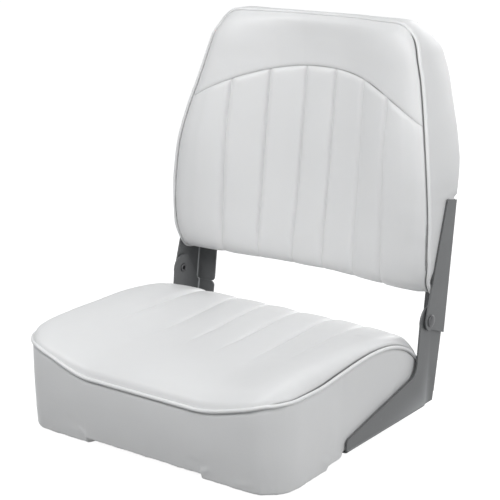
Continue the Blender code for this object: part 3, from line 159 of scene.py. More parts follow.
def round_corner(x: float, reach: float, half_width: float, radius: float) -> tuple[float, float]:
    """Pulls a point near an outline's leading corner in, so that the square corner becomes round.

    Args:
        x: The place across.
        reach: The distance behind the leading edge.
        half_width: Half the outline's width.
        radius: The corner's radius.

    Returns:
        The moved pair (x, reach).
    """
    a = (abs(x) - (half_width - radius)) / radius
    b = (radius - reach) / radius
    if a <= 0 or b <= 0:
        return x, reach
    pull_x = a * a * (2 - a) * (1 - math.sqrt(max(1 - b * b / 2, 0)))
    pull_y = b * b * (2 - b) * (1 - math.sqrt(max(1 - a * a / 2, 0)))
    return math.copysign(half_width - radius + radius * (a - pull_x), x), radius - radius * (b - pull_y)


def walk(points: Sequence[Vector]) -> list[float]:
    """The distance along a line of points at each of them."""
    return [0.0, *accumulate((after - here).length for here, after in zip(points, points[1:]))]


def sway(place: Vector, scale: float, seed: float) -> float:
    """Slow, smooth unevenness from about -1 to 1 at a place."""
    return noise.noise(place * scale + Vector((seed, 2 * seed, 3 * seed)))


def quarter_turn(share: float) -> tuple[float, float]:
    """How far a rounded edge has come in, and how far it has yet to drop, at a share of its turn."""
    turn = math.pi / 2 * share
    return 1 - math.cos(turn), 1 - math.sin(turn)


def pucker(along: float, away: float, seed: float, pitch: float = 0.011, reach: float = 0.009) -> float:
    """The small gathers that a seam pulls into the vinyl beside it.

    Args:
        along: The distance along the seam.
        away: The distance from the seam.
        seed: Tells seams apart.
        pitch: The usual distance between gathers.
        reach: How far they run out from the seam.

    Returns:
        A height from about -1 to 1.
    """
    ripple = noise.noise(Vector((along / pitch, seed, 0)))
    ripple += 0.5 * noise.noise(Vector((2.3 * along / pitch, seed, 5)))
    return 1.3 * ripple * math.exp(-away / reach) * ramp(away, 0, 0.002)


class Crease(NamedTuple):
    """A pull or fold in the vinyl between two places near the surface."""

    start: Vector
    end: Vector
    width: float
    height: float

    def at(self, place: Vector) -> float:
        """How far the crease lifts the cover.

        Args:
            place: The place on the cover.

        Returns:
            The lift there.
        """
        line = self.end - self.start
        t = (place - self.start).dot(line) / line.length_squared
        if not -0.3 < t < 1.3:
            return 0.0
        away = (place - (self.start + line * min(max(t, 0.0), 1.0))).length
        if away > 3 * self.width:
            return 0.0
        ends = ramp(t, -0.3, 0.25) * (1 - ramp(t, 0.75, 1.3))
        return self.height * ends * (1.35 * bell(away, self.width) - 0.35 * bell(away, 2 * self.width))


def creases_of(rows: Sequence[tuple[float, ...]]) -> list[Crease]:
    """Creases from rows in millimetres.

    Args:
        rows: Rows of (x, y, z, step in x, in y, in z to the end, width, height).

    Returns:
        The creases.
    """
    found = []
    for *places, width, height in rows:
        start, step = (Vector([value * MM for value in three]) for three in (places[:3], places[3:]))
        found.append(Crease(start, start + step, width * MM, height * MM))
    return found


SEAT_TOP_CREASES = creases_of((
    (186, 40, 120, -20, 12, 12, 4.0, 0.8), (189, 66, 120, -22, 10, 12, 3.5, -0.6),
    (187, 98, 120, -26, 6, 12, 4.5, 0.9), (186, 122, 120, -30, 0, 12, 4.0, -0.7),
    (-187, 30, 120, 18, 10, 12, 3.5, 0.6), (-189, 85, 120, 24, 4, 12, 4.0, 0.8),
    (-186, 112, 120, 28, 0, 12, 4.0, -0.6), (-150, -150, 120, 14, 20, 12, 4.5, 0.6),
    (150, -152, 120, -16, 22, 12, 4.5, 0.6), (120, 140, 120, -10, -24, 12, 4.0, -0.5),
    (-118, 141, 120, 12, -22, 12, 4.0, -0.5),
))

SEAT_SIDE_CREASES = creases_of((
    (-95, -192, 4, -12, 0, 13, 4.0, 1.1), (-104, -192, 16, -22, 2, 9, 4.8, -0.9),
    (-112, -190, 20, -20, 2, 10, 3.6, 0.6), (95, -192, 5, 12, 0, 7, 4.2, 1.0),
    (100, -192, 13, -24, 0, 4, 4.5, -0.7), (150, -190, 4, 24, 3, 6, 4.0, 0.8),
    (-208, -78, 6, 0, -14, 12, 3.6, 1.0), (-208, -74, 10, 0, 8, 18, 3.6, 0.6),
    (208, -78, 6, 0, -14, 10, 3.6, 1.0), (208, -74, 10, 0, 8, 18, 3.6, 0.6),
    (-176, -186, 6, -10, 2, 18, 4.2, 0.7), (178, -184, 6, 10, 4, 14, 4.0, 0.7),
    (-186, -176, 16, 4, -4, 34, 5.0, 0.9), (186, -176, 14, -4, -4, 36, 5.0, 0.9),
    (-196, -158, 90, -3, 4, -34, 4.5, -0.8), (196, -158, 92, 3, 4, -34, 4.5, -0.8),
    (-209, 0, 20, 0, 24, 30, 5.0, 0.7), (-208, 70, 30, 0, 20, 40, 5.0, 0.7),
    (208, 66, 30, 0, 22, 36, 5.0, 0.7),
))


class Station(NamedTuple):
    """One cross-section of a pad: (run, rise) points and square directions, and half its width."""

    centre: Vector
    bolster: Vector
    rim: Vector
    rim_normal: Vector
    half: float
    channel: float


@dataclass(frozen=True)
class PadForm:
    """The shape of one cushion's cover, from its leading seam over the pad to its trailing edge.

    A place on it is (column, share): the column runs from -1 to 1 over the width, with 0.65 on the
    outermost channel, and share from 0 at the leading seam to 1. Points are (x, run, rise).
    """

    rim: Shares
    bolster: Shares
    centre: Shares
    width: tuple[float, ...]
    length: float
    height: float
    half_width: float
    corner: float
    dish: tuple[float, float]
    channel_spread: tuple[float, float]
    channel_fade: tuple[float, float, float]
    seam_rise: float = 0.0034
    channel_column: float = 0.65
    channel_places: tuple[float, ...] = (0.19, 0.6, 1.0)
    channel_depth: float = 0.0034
    channel_radius: float = 0.0023
    channel_puff: float = 0.0015
    channel_gathers: float = 0.0003
    cord: float = 0.0021
    seam_tuck: float = 0.0042
    seam_reach: float = 0.0032
    edge_power: float = 2.2
    late_dish: float = 0.0
    bottom_lift: tuple[float, float] = (0.0, 0.0)
    nudge: float = 0.01

    def profile(self, table: Shares, share: float) -> Vector:
        """A table's (run, rise) at a share, in metres."""
        run, rise = curve_at(table, share)
        return Vector((run * self.length, rise * self.height))

    def outward(self, table: Shares, share: float) -> Vector:
        """The direction square to a table's curve, away from the pad.

        Args:
            table: The table.
            share: The share along it.

        Returns:
            The direction, of length 1.
        """
        low, high = max(share - self.nudge, 0), min(share + self.nudge, 1)
        step = self.profile(table, high) - self.profile(table, low)
        return Vector((-step.y, step.x)).normalized()

    def half(self, share: float) -> float:
        """Half the pad's width at a share."""
        return self.half_width * value_at(self.width, share)

    @lru_cache(maxsize=None)
    def station(self, share: float) -> Station:
        """The pad's cross-section.

        Args:
            share: The share from the leading seam.

        Returns:
            The section there.
        """
        first, last = self.channel_spread
        return Station(
            self.profile(self.centre, share),
            self.profile(self.bolster, share),
            self.profile(self.rim, share),
            self.outward(self.rim, share),
            self.half(share),
            first + (last - first) * share,
        )

    def across_of(self, column: float, share: float) -> float:
        """The share of the half width at a column.

        Args:
            column: The column, from -1 to 1.
            share: The share from the leading seam.

        Returns:
            The share of the half width, with the column's sign.
        """
        station = self.station(share)
        channel = station.channel / station.half
        size = abs(column)
        if size < self.channel_column:
            found = size * channel / self.channel_column
        else:
            found = channel + (size - self.channel_column) * (1 - channel) / (1 - self.channel_column)
        return math.copysign(found, column)

    def swell(self, across: float, share: float) -> float:
        """How far a place across has risen from the pad's middle to its bolster."""
        late = self.late_dish * (1 - ramp(share, 0, 0.3)) if across > 0 else 0.0
        return ramp(abs(across), self.dish[0], self.dish[1] + late)

    def edge_drop(self, size: float) -> float:
        """How far the rounded side has dropped towards the seam at a share of the half width."""
        past = max(size - self.dish[1], 0) / (1 - self.dish[1])
        return past**self.edge_power

    def to_side(self, column: float, share: float) -> float:
        """About how far a place is from its side's seam, over the rounded edge.

        Args:
            column: The column, from -1 to 1.
            share: The share from the leading seam.

        Returns:
            The distance.
        """
        size = abs(self.across_of(column, share))
        station = self.station(share)
        drop = (station.bolster - station.rim).length * (1 - self.edge_drop(size))
        return math.hypot((1 - size) * station.half, drop)

    def rounded(self, x: float, run: float, rise: float, inset: float = 0.0) -> Vector:
        """A point with the leading corners of the outline rounded."""
        x, run = round_corner(x, run, self.half(0) - inset, self.corner)
        return Vector((x, run, rise))

    def surface(self, column: float, share: float, lower: float = 0.0, inset: float = 0.0) -> Vector:
        """A point of the plain cover, before its channels.

        Args:
            column: The column, from -1 to 1.
            share: The share from the leading seam to the trailing edge.
            lower: How far the point sinks into the pad.
            inset: How far the outline shrinks.

        Returns:
            The point as (x, run, rise).
        """
        station = self.station(share)
        across = self.across_of(column, share)
        size = abs(across)
        point = station.centre.lerp(station.bolster, self.swell(across, share))
        if size > self.dish[1]:
            past = (size - self.dish[1]) / (1 - self.dish[1])
            rise = self.seam_rise * (1 - past**8)
            point = point.lerp(station.rim + station.rim_normal * rise, self.edge_drop(size))
        middle, side = self.bottom_lift
        raised = (middle + side * ramp(size, 0.35, 0.85)) * (1 - ramp(size, 0.96, 1))
        point.x -= raised * ramp(share, 0.85, 1)
        if lower:
            point = point - self.outward(self.centre, share) * lower
        made = self.rounded(across * (station.half - inset), point.x, point.y, inset)
        made.y += inset * (1 - share)
        return made

    def beside_cord(self, away: float) -> float:
        """The distance from the piping's edge at a distance from its seam."""
        return max(away - self.cord, 0.0)

    def tuck(self, away: float) -> float:
        """How far the seam pulls the cover in at a distance from it."""
        return self.seam_tuck * bell(away, self.seam_reach)

    def relief(self, column: float, share: float) -> float:
        """How far the sewn channels sink the cover, or with a minus how far it puffs between them.

        Args:
            column: The column, from -1 to 1.
            share: The share from the leading seam.

        Returns:
            The depth.
        """
        low, high, end = self.channel_fade
        fade = ramp(share, low, high) * (1 - ramp(share, end, 1))
        if fade <= 0:
            return 0.0
        station = self.station(share)
        x = self.across_of(column, share) * station.half
        lines = [side * place * station.channel for place in self.channel_places for side in (-1, 1)]
        away = min(abs(x - line) for line in lines)
        sink = self.channel_depth / (1 + (away / self.channel_radius) ** 2)
        left = [line for line in lines if line <= x]
        right = [line for line in lines if line > x]
        if left and right:
            gap = min(right) - max(left)
            puff = math.sqrt(math.sin(math.pi * (x - max(left)) / gap) + MICRON)
        else:
            reach = (station.half - station.channel) * 0.6
            puff = math.sqrt(max(1 - away / reach, 0)) * ramp(away, 0, reach / 5)
        return fade * (sink - self.channel_puff * puff)

    def gathers(self, along: float, column: float, seed: int) -> float:
        """The small gathers beside the sewn channels.

        Args:
            along: The distance along the channels.
            column: The column, from -1 to 1.
            seed: Tells cushions apart.

        Returns:
            The lift.
        """
        if abs(column) >= self.channel_column + 0.03:
            return 0.0
        size = abs(column) / self.channel_column
        near = min(abs(size - place) for place in self.channel_places) * OUTER_CHANNEL
        return self.channel_gathers * pucker(along, near, seed + round(column * 9), 0.013, 0.006)

    def seam(self, side: float, share: float) -> Vector:
        """A point of the piping's line.

        Args:
            side: -1 or 1 along a side, and between them along the leading edge.
            share: The share along a side, and 0 along the leading edge.

        Returns:
            The point as (x, run, rise).
        """
        if share > 0 or abs(side) == 1:
            run, rise = self.profile(self.rim, share)
            return self.rounded(math.copysign(self.half(share), side), run, rise)
        station = self.station(0)
        inner = station.centre.lerp(station.bolster, self.swell(side, 0))
        run, rise = inner.lerp(station.rim, self.edge_drop(abs(side)))
        return self.rounded(side * self.half(0), run, rise)

    def columns(self) -> list[float]:
        """Columns over the width, close together beside each channel and near the side seams.

        Returns:
            The columns, from -1 to 1.
        """
        per_metre = self.channel_column / self.channel_spread[1]
        half = {0.0}
        near = [value * MM for value in (0, 0.7, 1.4, 2.2, 3.2, 4.6, 6.6, 9.4)]
        edges = [self.channel_column * place for place in self.channel_places]
        for middle in edges:
            half |= {abs(middle + way * step * per_metre) for step in near for way in (-1, 1)}
        for low, high in zip([0.0] + edges, edges):
            span = spaced(low, high, 9 if low else 5)
            half |= {value for value in span if min(abs(value - edge) for edge in edges) > 0.05}
        half |= set(spaced(self.channel_column + 0.055, self.dish[1], 11))
        turns = (0, 12, 23, 33, 42, 50, 57, 63, 68, 73, 77, 80.5, 83.5, 86, 88, 90)
        half |= {self.dish[1] + (1 - self.dish[1]) * math.sin(math.radians(turn)) for turn in turns}
        return both_ways(round(value, 5) for value in half)

    def seam_places(self, rows: Sequence[float], fronts: Sequence[float]) -> list[tuple[float, float]]:
        """(side, share) places along the piping: up the left side, across, and down the right side.

        Args:
            rows: The shares along a side.
            fronts: The places across the leading edge, from 1 to -1.

        Returns:
            The places.
        """
        up = [(1.0, share) for share in reversed(rows) if share > 0]
        down = [(-1.0, share) for share in rows if share > 0]
        return up + [(side, 0.0) for side in fronts] + down


SEAT_FORM = PadForm(
    rim=((0, 0.916), (0.058, 0.927), (0.142, 0.929), (0.267, 0.925), (0.392, 0.9585), (0.517, 0.992),
         (0.628, 0.998), (0.739, 0.955), (0.836, 0.858), (0.911, 0.721), (0.961, 0.531), (0.983, 0.300),
         (0.979, 0.120)),
    bolster=((0, 0.916), (0.018, 0.985), (0.080, 1.062), (0.225, 1.104), (0.392, 1.122), (0.531, 1.125),
             (0.656, 1.096), (0.772, 1.042), (0.872, 0.957), (0.944, 0.780), (0.986, 0.552), (1.001, 0.300),
             (0.986, 0.110)),
    centre=((0, 0.717), (0.021, 0.821), (0.083, 0.883), (0.211, 0.920), (0.392, 0.941), (0.531, 0.958),
            (0.669, 0.978), (0.794, 0.991), (0.892, 0.945), (0.961, 0.788), (1.001, 0.556), (1.011, 0.300),
            (0.989, 0.080)),
    width=(1, 1, 1, 1, 1, 1, 1, 0.996, 0.988, 0.983, 0.981, 0.981, 0.981),
    length=0.360,
    height=0.1206,
    half_width=0.208,
    corner=0.052,
    dish=(0.4, 0.9),
    channel_spread=(OUTER_CHANNEL, OUTER_CHANNEL),
    channel_fade=(0.28, 0.46, 0.72),
    late_dish=0.10,
)

BACK_FORM = PadForm(
    rim=((0, 0.518), (0.0486, 0.536), (0.1125, 0.605), (0.196, 0.650), (0.293, 0.721), (0.404, 0.818),
         (0.529, 0.896), (0.654, 0.9225), (0.779, 0.9315), (0.876, 0.912), (0.940, 0.858), (0.9875, 0.739),
         (1.001, 0.568)),
    bolster=((0, 0.518), (0.0375, 0.613), (0.104, 0.689), (0.193, 0.739), (0.293, 0.806), (0.404, 0.901),
             (0.529, 0.977), (0.654, 1.000), (0.779, 1.000), (0.879, 0.982), (0.951, 0.919), (1.003, 0.775),
             (1.014, 0.586)),
    centre=((0, 0.351), (0.029, 0.414), (0.093, 0.401), (0.182, 0.389), (0.293, 0.419), (0.404, 0.455),
            (0.529, 0.500), (0.654, 0.5495), (0.779, 0.6036), (0.876, 0.653), (0.951, 0.671),
            (0.9986, 0.604), (1.0125, 0.5045)),
    width=(0.764, 0.766, 0.788, 0.830, 0.873, 0.921, 0.964, 0.988, 1.000, 0.995, 0.977, 0.974, 0.972),
    length=0.360,
    height=0.111,
    half_width=0.2145,
    corner=0.041,
    dish=(0.15, 0.9),
    channel_spread=(OUTER_CHANNEL * 0.92, OUTER_CHANNEL),
    channel_fade=(-1, 0, 0.66),
    seam_rise=0.0010,
    channel_depth=0.0045,
    channel_puff=0.0024,
    bottom_lift=(0.0082, 0.0118),
)


# Meshes and objects


def placed(
    bm: BMesh, across: Sequence[float], down: Sequence[float]
) -> Iterator[tuple[BMVert, float, float]]:
    """Goes over a grid whose vertices lie row by row.

    Args:
        bm: The grid.
        across: The columns.
        down: The rows.

    Yields:
        Each (vertex, column, row).
    """
    for index, vert in enumerate(bm.verts):
        row, column = divmod(index, len(across))
        yield vert, across[column], down[row]


def grid_sheet(
    across: Sequence[float],
    down: Sequence[float],
    point_at: Callable[[float, float], Vector],
    inside: Vector | None = None,
) -> BMesh:
    """An open sheet of quads.

    Args:
        across: The columns.
        down: The rows.
        point_at: Gives the place of a (column, row).
        inside: A point that the sheet's faces are turned away from.

    Returns:
        The sheet, with its vertices row by row.
    """
    bm = bmesh.new()
    bmesh.ops.create_grid(bm, x_segments=len(across) - 1, y_segments=len(down) - 1, size=1)
    for vert, column, row in placed(bm, across, down):
        vert.co = point_at(column, row)
    bm.normal_update()
    if inside:
        facing = sum((face.calc_center_median() - inside).dot(face.normal) * face.calc_area()
                     for face in bm.faces)
        if facing < 0:
            bmesh.ops.reverse_faces(bm, faces=bm.faces)
            bm.normal_update()
    return bm


def panel_sheet(
    across: Sequence[float],
    down: Sequence[float],
    point_at: Callable[[float, float], Vector],
    relief_at: Callable[[Vector, float, float], Relief],
    inside: Vector,
) -> BMesh:
    """A sheet of a cover, moved along its normals, whose points note how deep in a seam's shadow they lie.

    Args:
        across: The columns.
        down: The rows.
        point_at: Gives the place of a (column, row).
        relief_at: Gives the (lift, distance from a seam) of a (place, column, row).
        inside: A point that the sheet's faces are turned away from.

    Returns:
        The sheet.
    """
    bm = grid_sheet(across, down, point_at, inside)
    reliefs = [relief_at(vert.co, column, row) for vert, column, row in placed(bm, across, down)]
    moved = [vert.co + vert.normal * lift for vert, (lift, _) in zip(bm.verts, reliefs)]
    # The mark sets how much painted shade the vinyl's colour takes beside a seam.
    shade = bm.verts.layers.float.new(SEAM_SHADE)
    for vert, place, (_, distance) in zip(bm.verts, moved, reliefs):
        vert.co = place
        vert[shade] = bell(distance, SEAM_SHADE_WIDTH)
    bm.normal_update()
    return bm


def finished_mesh(bm: BMesh, name: str, sharp: float = 40) -> Mesh:
    """Makes the mesh of a bmesh, which is freed.

    Args:
        bm: The bmesh.
        name: The mesh's name.
        sharp: Edges past this angle in degrees stay sharp.

    Returns:
        The mesh.
    """
    mesh = bpy.data.meshes.new(name)
    bm.to_mesh(mesh)
    bm.free()
    mesh.shade_smooth()
    mesh.set_sharp_from_angle(angle=math.radians(sharp))
    return mesh


def linked(name: str, data: ID | None) -> Object:
    """Adds an object to the scene.

    Args:
        name: Its name.
        data: Its data, if any.

    Returns:
        The object.
    """
    made = bpy.data.objects.new(name, data)
    bpy.context.scene.collection.objects.link(made)
    return made


def evaluated(data: ID, kind: str = "", settings: dict | None = None) -> Mesh:
    """The mesh of an object's data, with a modifier applied.

    Args:
        data: The mesh or curve to start from, which is used up.
        kind: The modifier, if any.
        settings: The modifier's settings.

    Returns:
        The new mesh.
    """
    helper = linked("helper", data)
    if kind:
        modifier = helper.modifiers.new(kind.lower(), kind)
        for key, value in (settings or {}).items():
            setattr(modifier, key, value)
    ready = helper.evaluated_get(bpy.context.evaluated_depsgraph_get())
    made = bpy.data.meshes.new_from_object(ready)
    made.name = data.name
    bpy.data.objects.remove(helper)
    return made


def spun(profile: Pairs, sides: int, place: Matrix) -> BMesh:
    """A closed piece turned about Z.

    Args:
        profile: (radius, height) points, from the axis back to it, or round a ring's section.
        sides: How many faces lie round it.
        place: The matrix that moves it to its place.

    Returns:
        The piece.
    """
    bm = bmesh.new()
    verts = [bm.verts.new((radius, 0, height)) for radius, height in profile]
    count = len(verts)
    ring = profile[0][0] > 0
    edges = [bm.edges.new((verts[i], verts[(i + 1) % count])) for i in range(count if ring else count - 1)]
    bmesh.ops.spin(bm, geom=verts + edges, cent=(0, 0, 0), axis=(0, 0, 1), dvec=(0, 0, 0),
                   angle=math.tau, steps=sides, use_merge=True, use_duplicate=False)
    bmesh.ops.remove_doubles(bm, verts=bm.verts, dist=2 * MICRON)
    bmesh.ops.transform(bm, matrix=place, verts=bm.verts)
    bmesh.ops.recalc_face_normals(bm, faces=bm.faces)
    return bm


def add_block(bm: BMesh, size: Sequence[float], place: Matrix) -> None:
    """Adds a block of a size about a place to a bmesh."""
    bmesh.ops.create_cube(bm, size=1, matrix=place @ Matrix.Diagonal((*size, 1)))
    bmesh.ops.recalc_face_normals(bm, faces=bm.faces)


def aimed(point: Vector, direction: Vector) -> Matrix:
    """The matrix that puts a piece made about Z at a point, with its Z along the direction."""
    return Matrix.Translation(point) @ direction.to_track_quat("Z", "Y").to_matrix().to_4x4()


def tube(points: Sequence[Vector], radius: float, widths: Sequence[float], name: str) -> Mesh:
    """A closed round cord along points.

    Args:
        points: The points of its middle line.
        radius: Its radius.
        widths: A factor on the radius at each point.
        name: The mesh's name.

    Returns:
        The mesh.
    """
    curve = bpy.data.curves.new(name, "CURVE")
    curve.dimensions = "3D"
    curve.bevel_depth = radius
    curve.bevel_resolution = 3
    curve.use_fill_caps = True
    spline = curve.splines.new("POLY")
    spline.points.add(len(points) - 1)
    for target, point, width in zip(spline.points, points, widths):
        target.co = (*point, 1)
        target.radius = width
    mesh = evaluated(curve)
    mesh.shade_smooth()
    mesh.set_sharp_from_angle(angle=math.radians(60))
    return mesh


def softened_copy(node: str, width: float) -> Mesh:
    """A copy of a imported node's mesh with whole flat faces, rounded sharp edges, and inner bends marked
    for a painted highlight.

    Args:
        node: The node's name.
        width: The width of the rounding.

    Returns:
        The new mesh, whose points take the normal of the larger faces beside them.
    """
    bm = bmesh.new()
    bm.from_mesh(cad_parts[node].data)
    bmesh.ops.remove_doubles(bm, verts=bm.verts, dist=2 * MICRON)
    bmesh.ops.dissolve_limit(bm, angle_limit=math.radians(FLAT_ANGLE), verts=bm.verts, edges=bm.edges)
    edges = [edge for edge in bm.edges if len(edge.link_faces) == 2
             and edge.calc_face_angle(0) > math.radians(ROUNDED_ANGLE)]
    bmesh.ops.bevel(bm, geom=edges, offset=width, offset_type="OFFSET", segments=2, profile=0.5,
                    affect="EDGES", clamp_overlap=True, material=-1)
    # Painted highlight: vertices on concave bends are marked, and the paint is lighter there.
    highlight_mark = bm.verts.layers.float.new(BEND_HIGHLIGHT)
    for edge in bm.edges:
        if len(edge.link_faces) == 2 and edge.calc_face_angle_signed(0) < -math.radians(BEND_ANGLE):
            for vert in edge.verts:
                vert[highlight_mark] = 1.0
    bm.normal_update()
    normals = [sum((face.normal * face.calc_area() for face in vert.link_faces), Vector()).normalized()
               for vert in bm.verts]
    mesh = finished_mesh(bm, node, 50)
    mesh.normals_split_custom_set_from_vertices(normals)
    return mesh


def add_piece(
    name: str,
    mesh: Mesh,
    material: Material,
    body: Body,
    slot: Slot,
    *replaces: str,
) -> Object:
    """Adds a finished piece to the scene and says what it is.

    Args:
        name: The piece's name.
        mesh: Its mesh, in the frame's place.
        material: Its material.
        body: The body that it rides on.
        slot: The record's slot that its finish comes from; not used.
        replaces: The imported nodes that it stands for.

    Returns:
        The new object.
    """
    mesh.name = name
    mesh.materials.clear()
    mesh.materials.append(material)
    piece = linked(name, mesh)
    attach(piece, body.value)
    if replaces:
        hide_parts(*replaces)
    log.info("%s: %d faces", name, len(mesh.polygons))
    return piece


# Finishes


class Bench:
    """Adds nodes to one shader tree."""

    def __init__(self, tree: NodeTree) -> None:
        """Works on a tree."""
        self.tree = tree

    def settle(self, node: Node, inputs: dict) -> None:
        """Gives a node's inputs their values.

        Args:
            node: The node.
            inputs: Values or output sockets for its inputs, by name or number.
        """
        for key, value in inputs.items():
            if isinstance(value, NodeSocket):
                self.tree.links.new(value, node.inputs[key])
            else:
                node.inputs[key].default_value = value

    def add(self, kind: str, inputs: dict | None = None, **settings: object) -> NodeOutputs:
        """Adds a node.

        Args:
            kind: The node's type, without its ShaderNode prefix.
            inputs: Values or output sockets for its inputs, by name or number.
            settings: Attributes of the node.

        Returns:
            The node's outputs.
        """
        node = self.tree.nodes.new("ShaderNode" + kind)
        for key, value in settings.items():
            setattr(node, key, value)
        self.settle(node, inputs or {})
        return node.outputs

    def math(self, operation: str, *values: object) -> NodeSocket:
        """The result of one sum on values or sockets."""
        return self.add("Math", dict(enumerate(values)), operation=operation)[0]

    def noise(self, place: NodeSocket, scale: object, detail: float, **more: float) -> object:
        """The outputs of a noise texture."""
        return self.add("TexNoise", {"Vector": place, "Scale": scale, "Detail": detail, **more})

    def ramp(self, factor: NodeSocket, *stops: tuple[float, tuple]) -> NodeSocket:
        """A colour for each factor.

        Args:
            factor: The factor.
            stops: The (place, colour) stops.

        Returns:
            The colour's socket.
        """
        found = self.add("ValToRGB", {"Fac": factor})["Color"]
        elements = found.node.color_ramp.elements
        while len(elements) < len(stops):
            elements.new(0.5)
        for element, (place, colour) in zip(elements, stops):
            element.position = place
            element.color = (*colour, 1)
        return found

    def scaled(self, vector: NodeSocket, factor: object) -> NodeSocket:
        """A colour or vector times a factor."""
        return self.add("VectorMath", {0: vector, "Scale": factor}, operation="SCALE")[0]

    def span(self, value: NodeSocket, low: float, high: float) -> NodeSocket:
        """A value from 0 to 1 spread over low to high."""
        return self.add("MapRange", {"Value": value, "To Min": low, "To Max": high})[0]

    def cut(self, value: NodeSocket, low: float, high: float) -> NodeSocket:
        """A value from low to high spread over 0 to 1."""
        return self.add("MapRange", {"Value": value, "From Min": low, "From Max": high})[0]

    def group(self, tree: NodeTree, **inputs: float) -> NodeSocket:
        """The output of a shared node group with these inputs."""
        return self.add("Group", inputs, node_tree=tree)[0]

    def mark(self, name: str) -> NodeSocket:
        """The value of a piece's own attribute."""
        return self.add("Attribute", attribute_name=name)["Fac"]

    def bumps(self, *layers: tuple[NodeSocket, float, float]) -> NodeSocket:
        """The normal that heights give.

        Args:
            layers: The (height, depth in metres, strength) of each layer.

        Returns:
            The normal's socket.
        """
        under = {}
        for height, depth, strength in layers:
            inputs = {"Height": height, "Distance": depth, "Strength": strength, **under}
            under = {"Normal": self.add("Bump", inputs)["Normal"]}
        return under["Normal"]

    def seen_by(self, *kinds: str) -> NodeSocket:
        """1 for rays of these kinds, and 0 for the others."""
        rays = self.add("LightPath")
        return reduce(lambda a, b: self.math("MAXIMUM", a, b), [rays[f"Is {kind} Ray"] for kind in kinds])


class GroupBench(Bench):
    """Adds nodes to a new shared group, which reads Object coordinates and puts out one value."""

    def __init__(self, name: str, output: str, **inputs: float) -> None:
        """Starts the group.

        Args:
            name: Its name.
            output: The name of its output.
            inputs: The names and values of its inputs.
        """
        super().__init__(bpy.data.node_groups.new(name, "ShaderNodeTree"))
        for key, value in inputs.items():
            socket = self.tree.interface.new_socket(name=key, in_out="INPUT", socket_type="NodeSocketFloat")
            socket.default_value = value
        self.tree.interface.new_socket(name=output, in_out="OUTPUT", socket_type="NodeSocketFloat")
        self.source = self.tree.nodes.new("NodeGroupInput")
        self.sink = self.tree.nodes.new("NodeGroupOutput")
        self.place = self.add("TexCoord")["Object"]

    def finish(self, value: NodeSocket) -> NodeTree:
        """Puts a value out and gives the group's tree."""
        self.tree.links.new(value, self.sink.inputs[0])
        return self.tree


class SharedEffects:
    """The node groups that more than one finish uses."""

    def __init__(self) -> None:
        """Builds every group once."""
        self.pebble = self._pebble()
        self.mottle = self._mottle()
        self.scuffs = self._scuffs()

    @staticmethod
    def _pebble() -> NodeTree:
        """Embossed pebble grain: cells of uneven size with soft valleys between them.

        Returns:
            The group.
        """
        bench = GroupBench("pebble", "Height", Scale=700.0)
        scale = bench.source.outputs["Scale"]
        warp = bench.noise(bench.place, bench.math("MULTIPLY", scale, 0.35), 1.0)
        soft = bench.scaled(warp["Color"], 0.0008)
        moved = bench.add("VectorMath", {0: bench.place, 1: soft}, operation="ADD")[0]
        cells = bench.add("TexVoronoi", {"Vector": moved, "Scale": scale, "Smoothness": 0.6},
                          feature="SMOOTH_F1")
        fine = bench.noise(bench.place, scale, 2.0)
        domes = bench.math("SUBTRACT", 1.0, cells["Distance"])
        return bench.finish(bench.math("ADD", domes, bench.math("MULTIPLY", fine["Fac"], 0.35)))

    @staticmethod
    def _mottle() -> NodeTree:
        """Soft uneven patches, from 0 to 1.

        Returns:
            The group.
        """
        bench = GroupBench("mottle", "Value", Scale=9.0)
        cloud = bench.noise(bench.place, bench.source.outputs["Scale"], 4.0, Roughness=0.55)
        return bench.finish(bench.cut(cloud["Fac"], 0.3, 0.7))

    @staticmethod
    def _scuffs() -> NodeTree:
        """Fine short scratches in two directions, as a mask.

        Returns:
            The group.
        """
        bench = GroupBench("scuffs", "Mask", Scale=60.0, Amount=0.5)
        masks = []
        for turn, stretch in ((0.6, (1.0, 14.0, 1.0)), (-0.9, (12.0, 1.0, 1.0))):
            inputs = {"Vector": bench.place, "Rotation": (turn, turn, 0.3), "Scale": stretch}
            streak = bench.noise(bench.add("Mapping", inputs)[0], bench.source.outputs["Scale"], 2.0)
            masks.append(bench.cut(streak["Fac"], 0.66, 0.74))
        both = bench.math("MAXIMUM", *masks)
        return bench.finish(bench.math("MULTIPLY", both, bench.source.outputs["Amount"]))


@dataclass(frozen=True)
class Finish:
    """A surface finish: what its material is called and the plain values of its shader."""

    name: str
    colour: tuple[float, float, float]
    roughness: float
    metallic: float = 0.0

    def build(self, effects: SharedEffects) -> Material:
        """Makes the material.

        Args:
            effects: The shared node groups.

        Returns:
            The material.
        """
        material = bpy.data.materials.new(self.name)
        material.use_nodes = True
        material.diffuse_color = (*self.colour, 1)
        bench = Bench(material.node_tree)
        plain = {"Base Color": (*self.colour, 1), "Roughness": self.roughness, "Metallic": self.metallic}
        bench.settle(material.node_tree.nodes["Principled BSDF"], plain | self.inputs(bench, effects))
        return material

    def inputs(self, bench: Bench, effects: SharedEffects) -> dict:
        """What the shader's inputs get beyond the plain values."""
        return {}

    def shade(self, factor: float) -> tuple[float, float, float]:
        """The colour, darker or lighter by a factor."""
        return tuple(min(value * factor, 1.0) for value in self.colour)

    def rough(self, bench: Bench, value: NodeSocket, less: float, more: float) -> NodeSocket:
        """The roughness, less by one amount where a value is 0 and more by another where it is 1."""
        return bench.span(value, self.roughness - less, self.roughness + more)


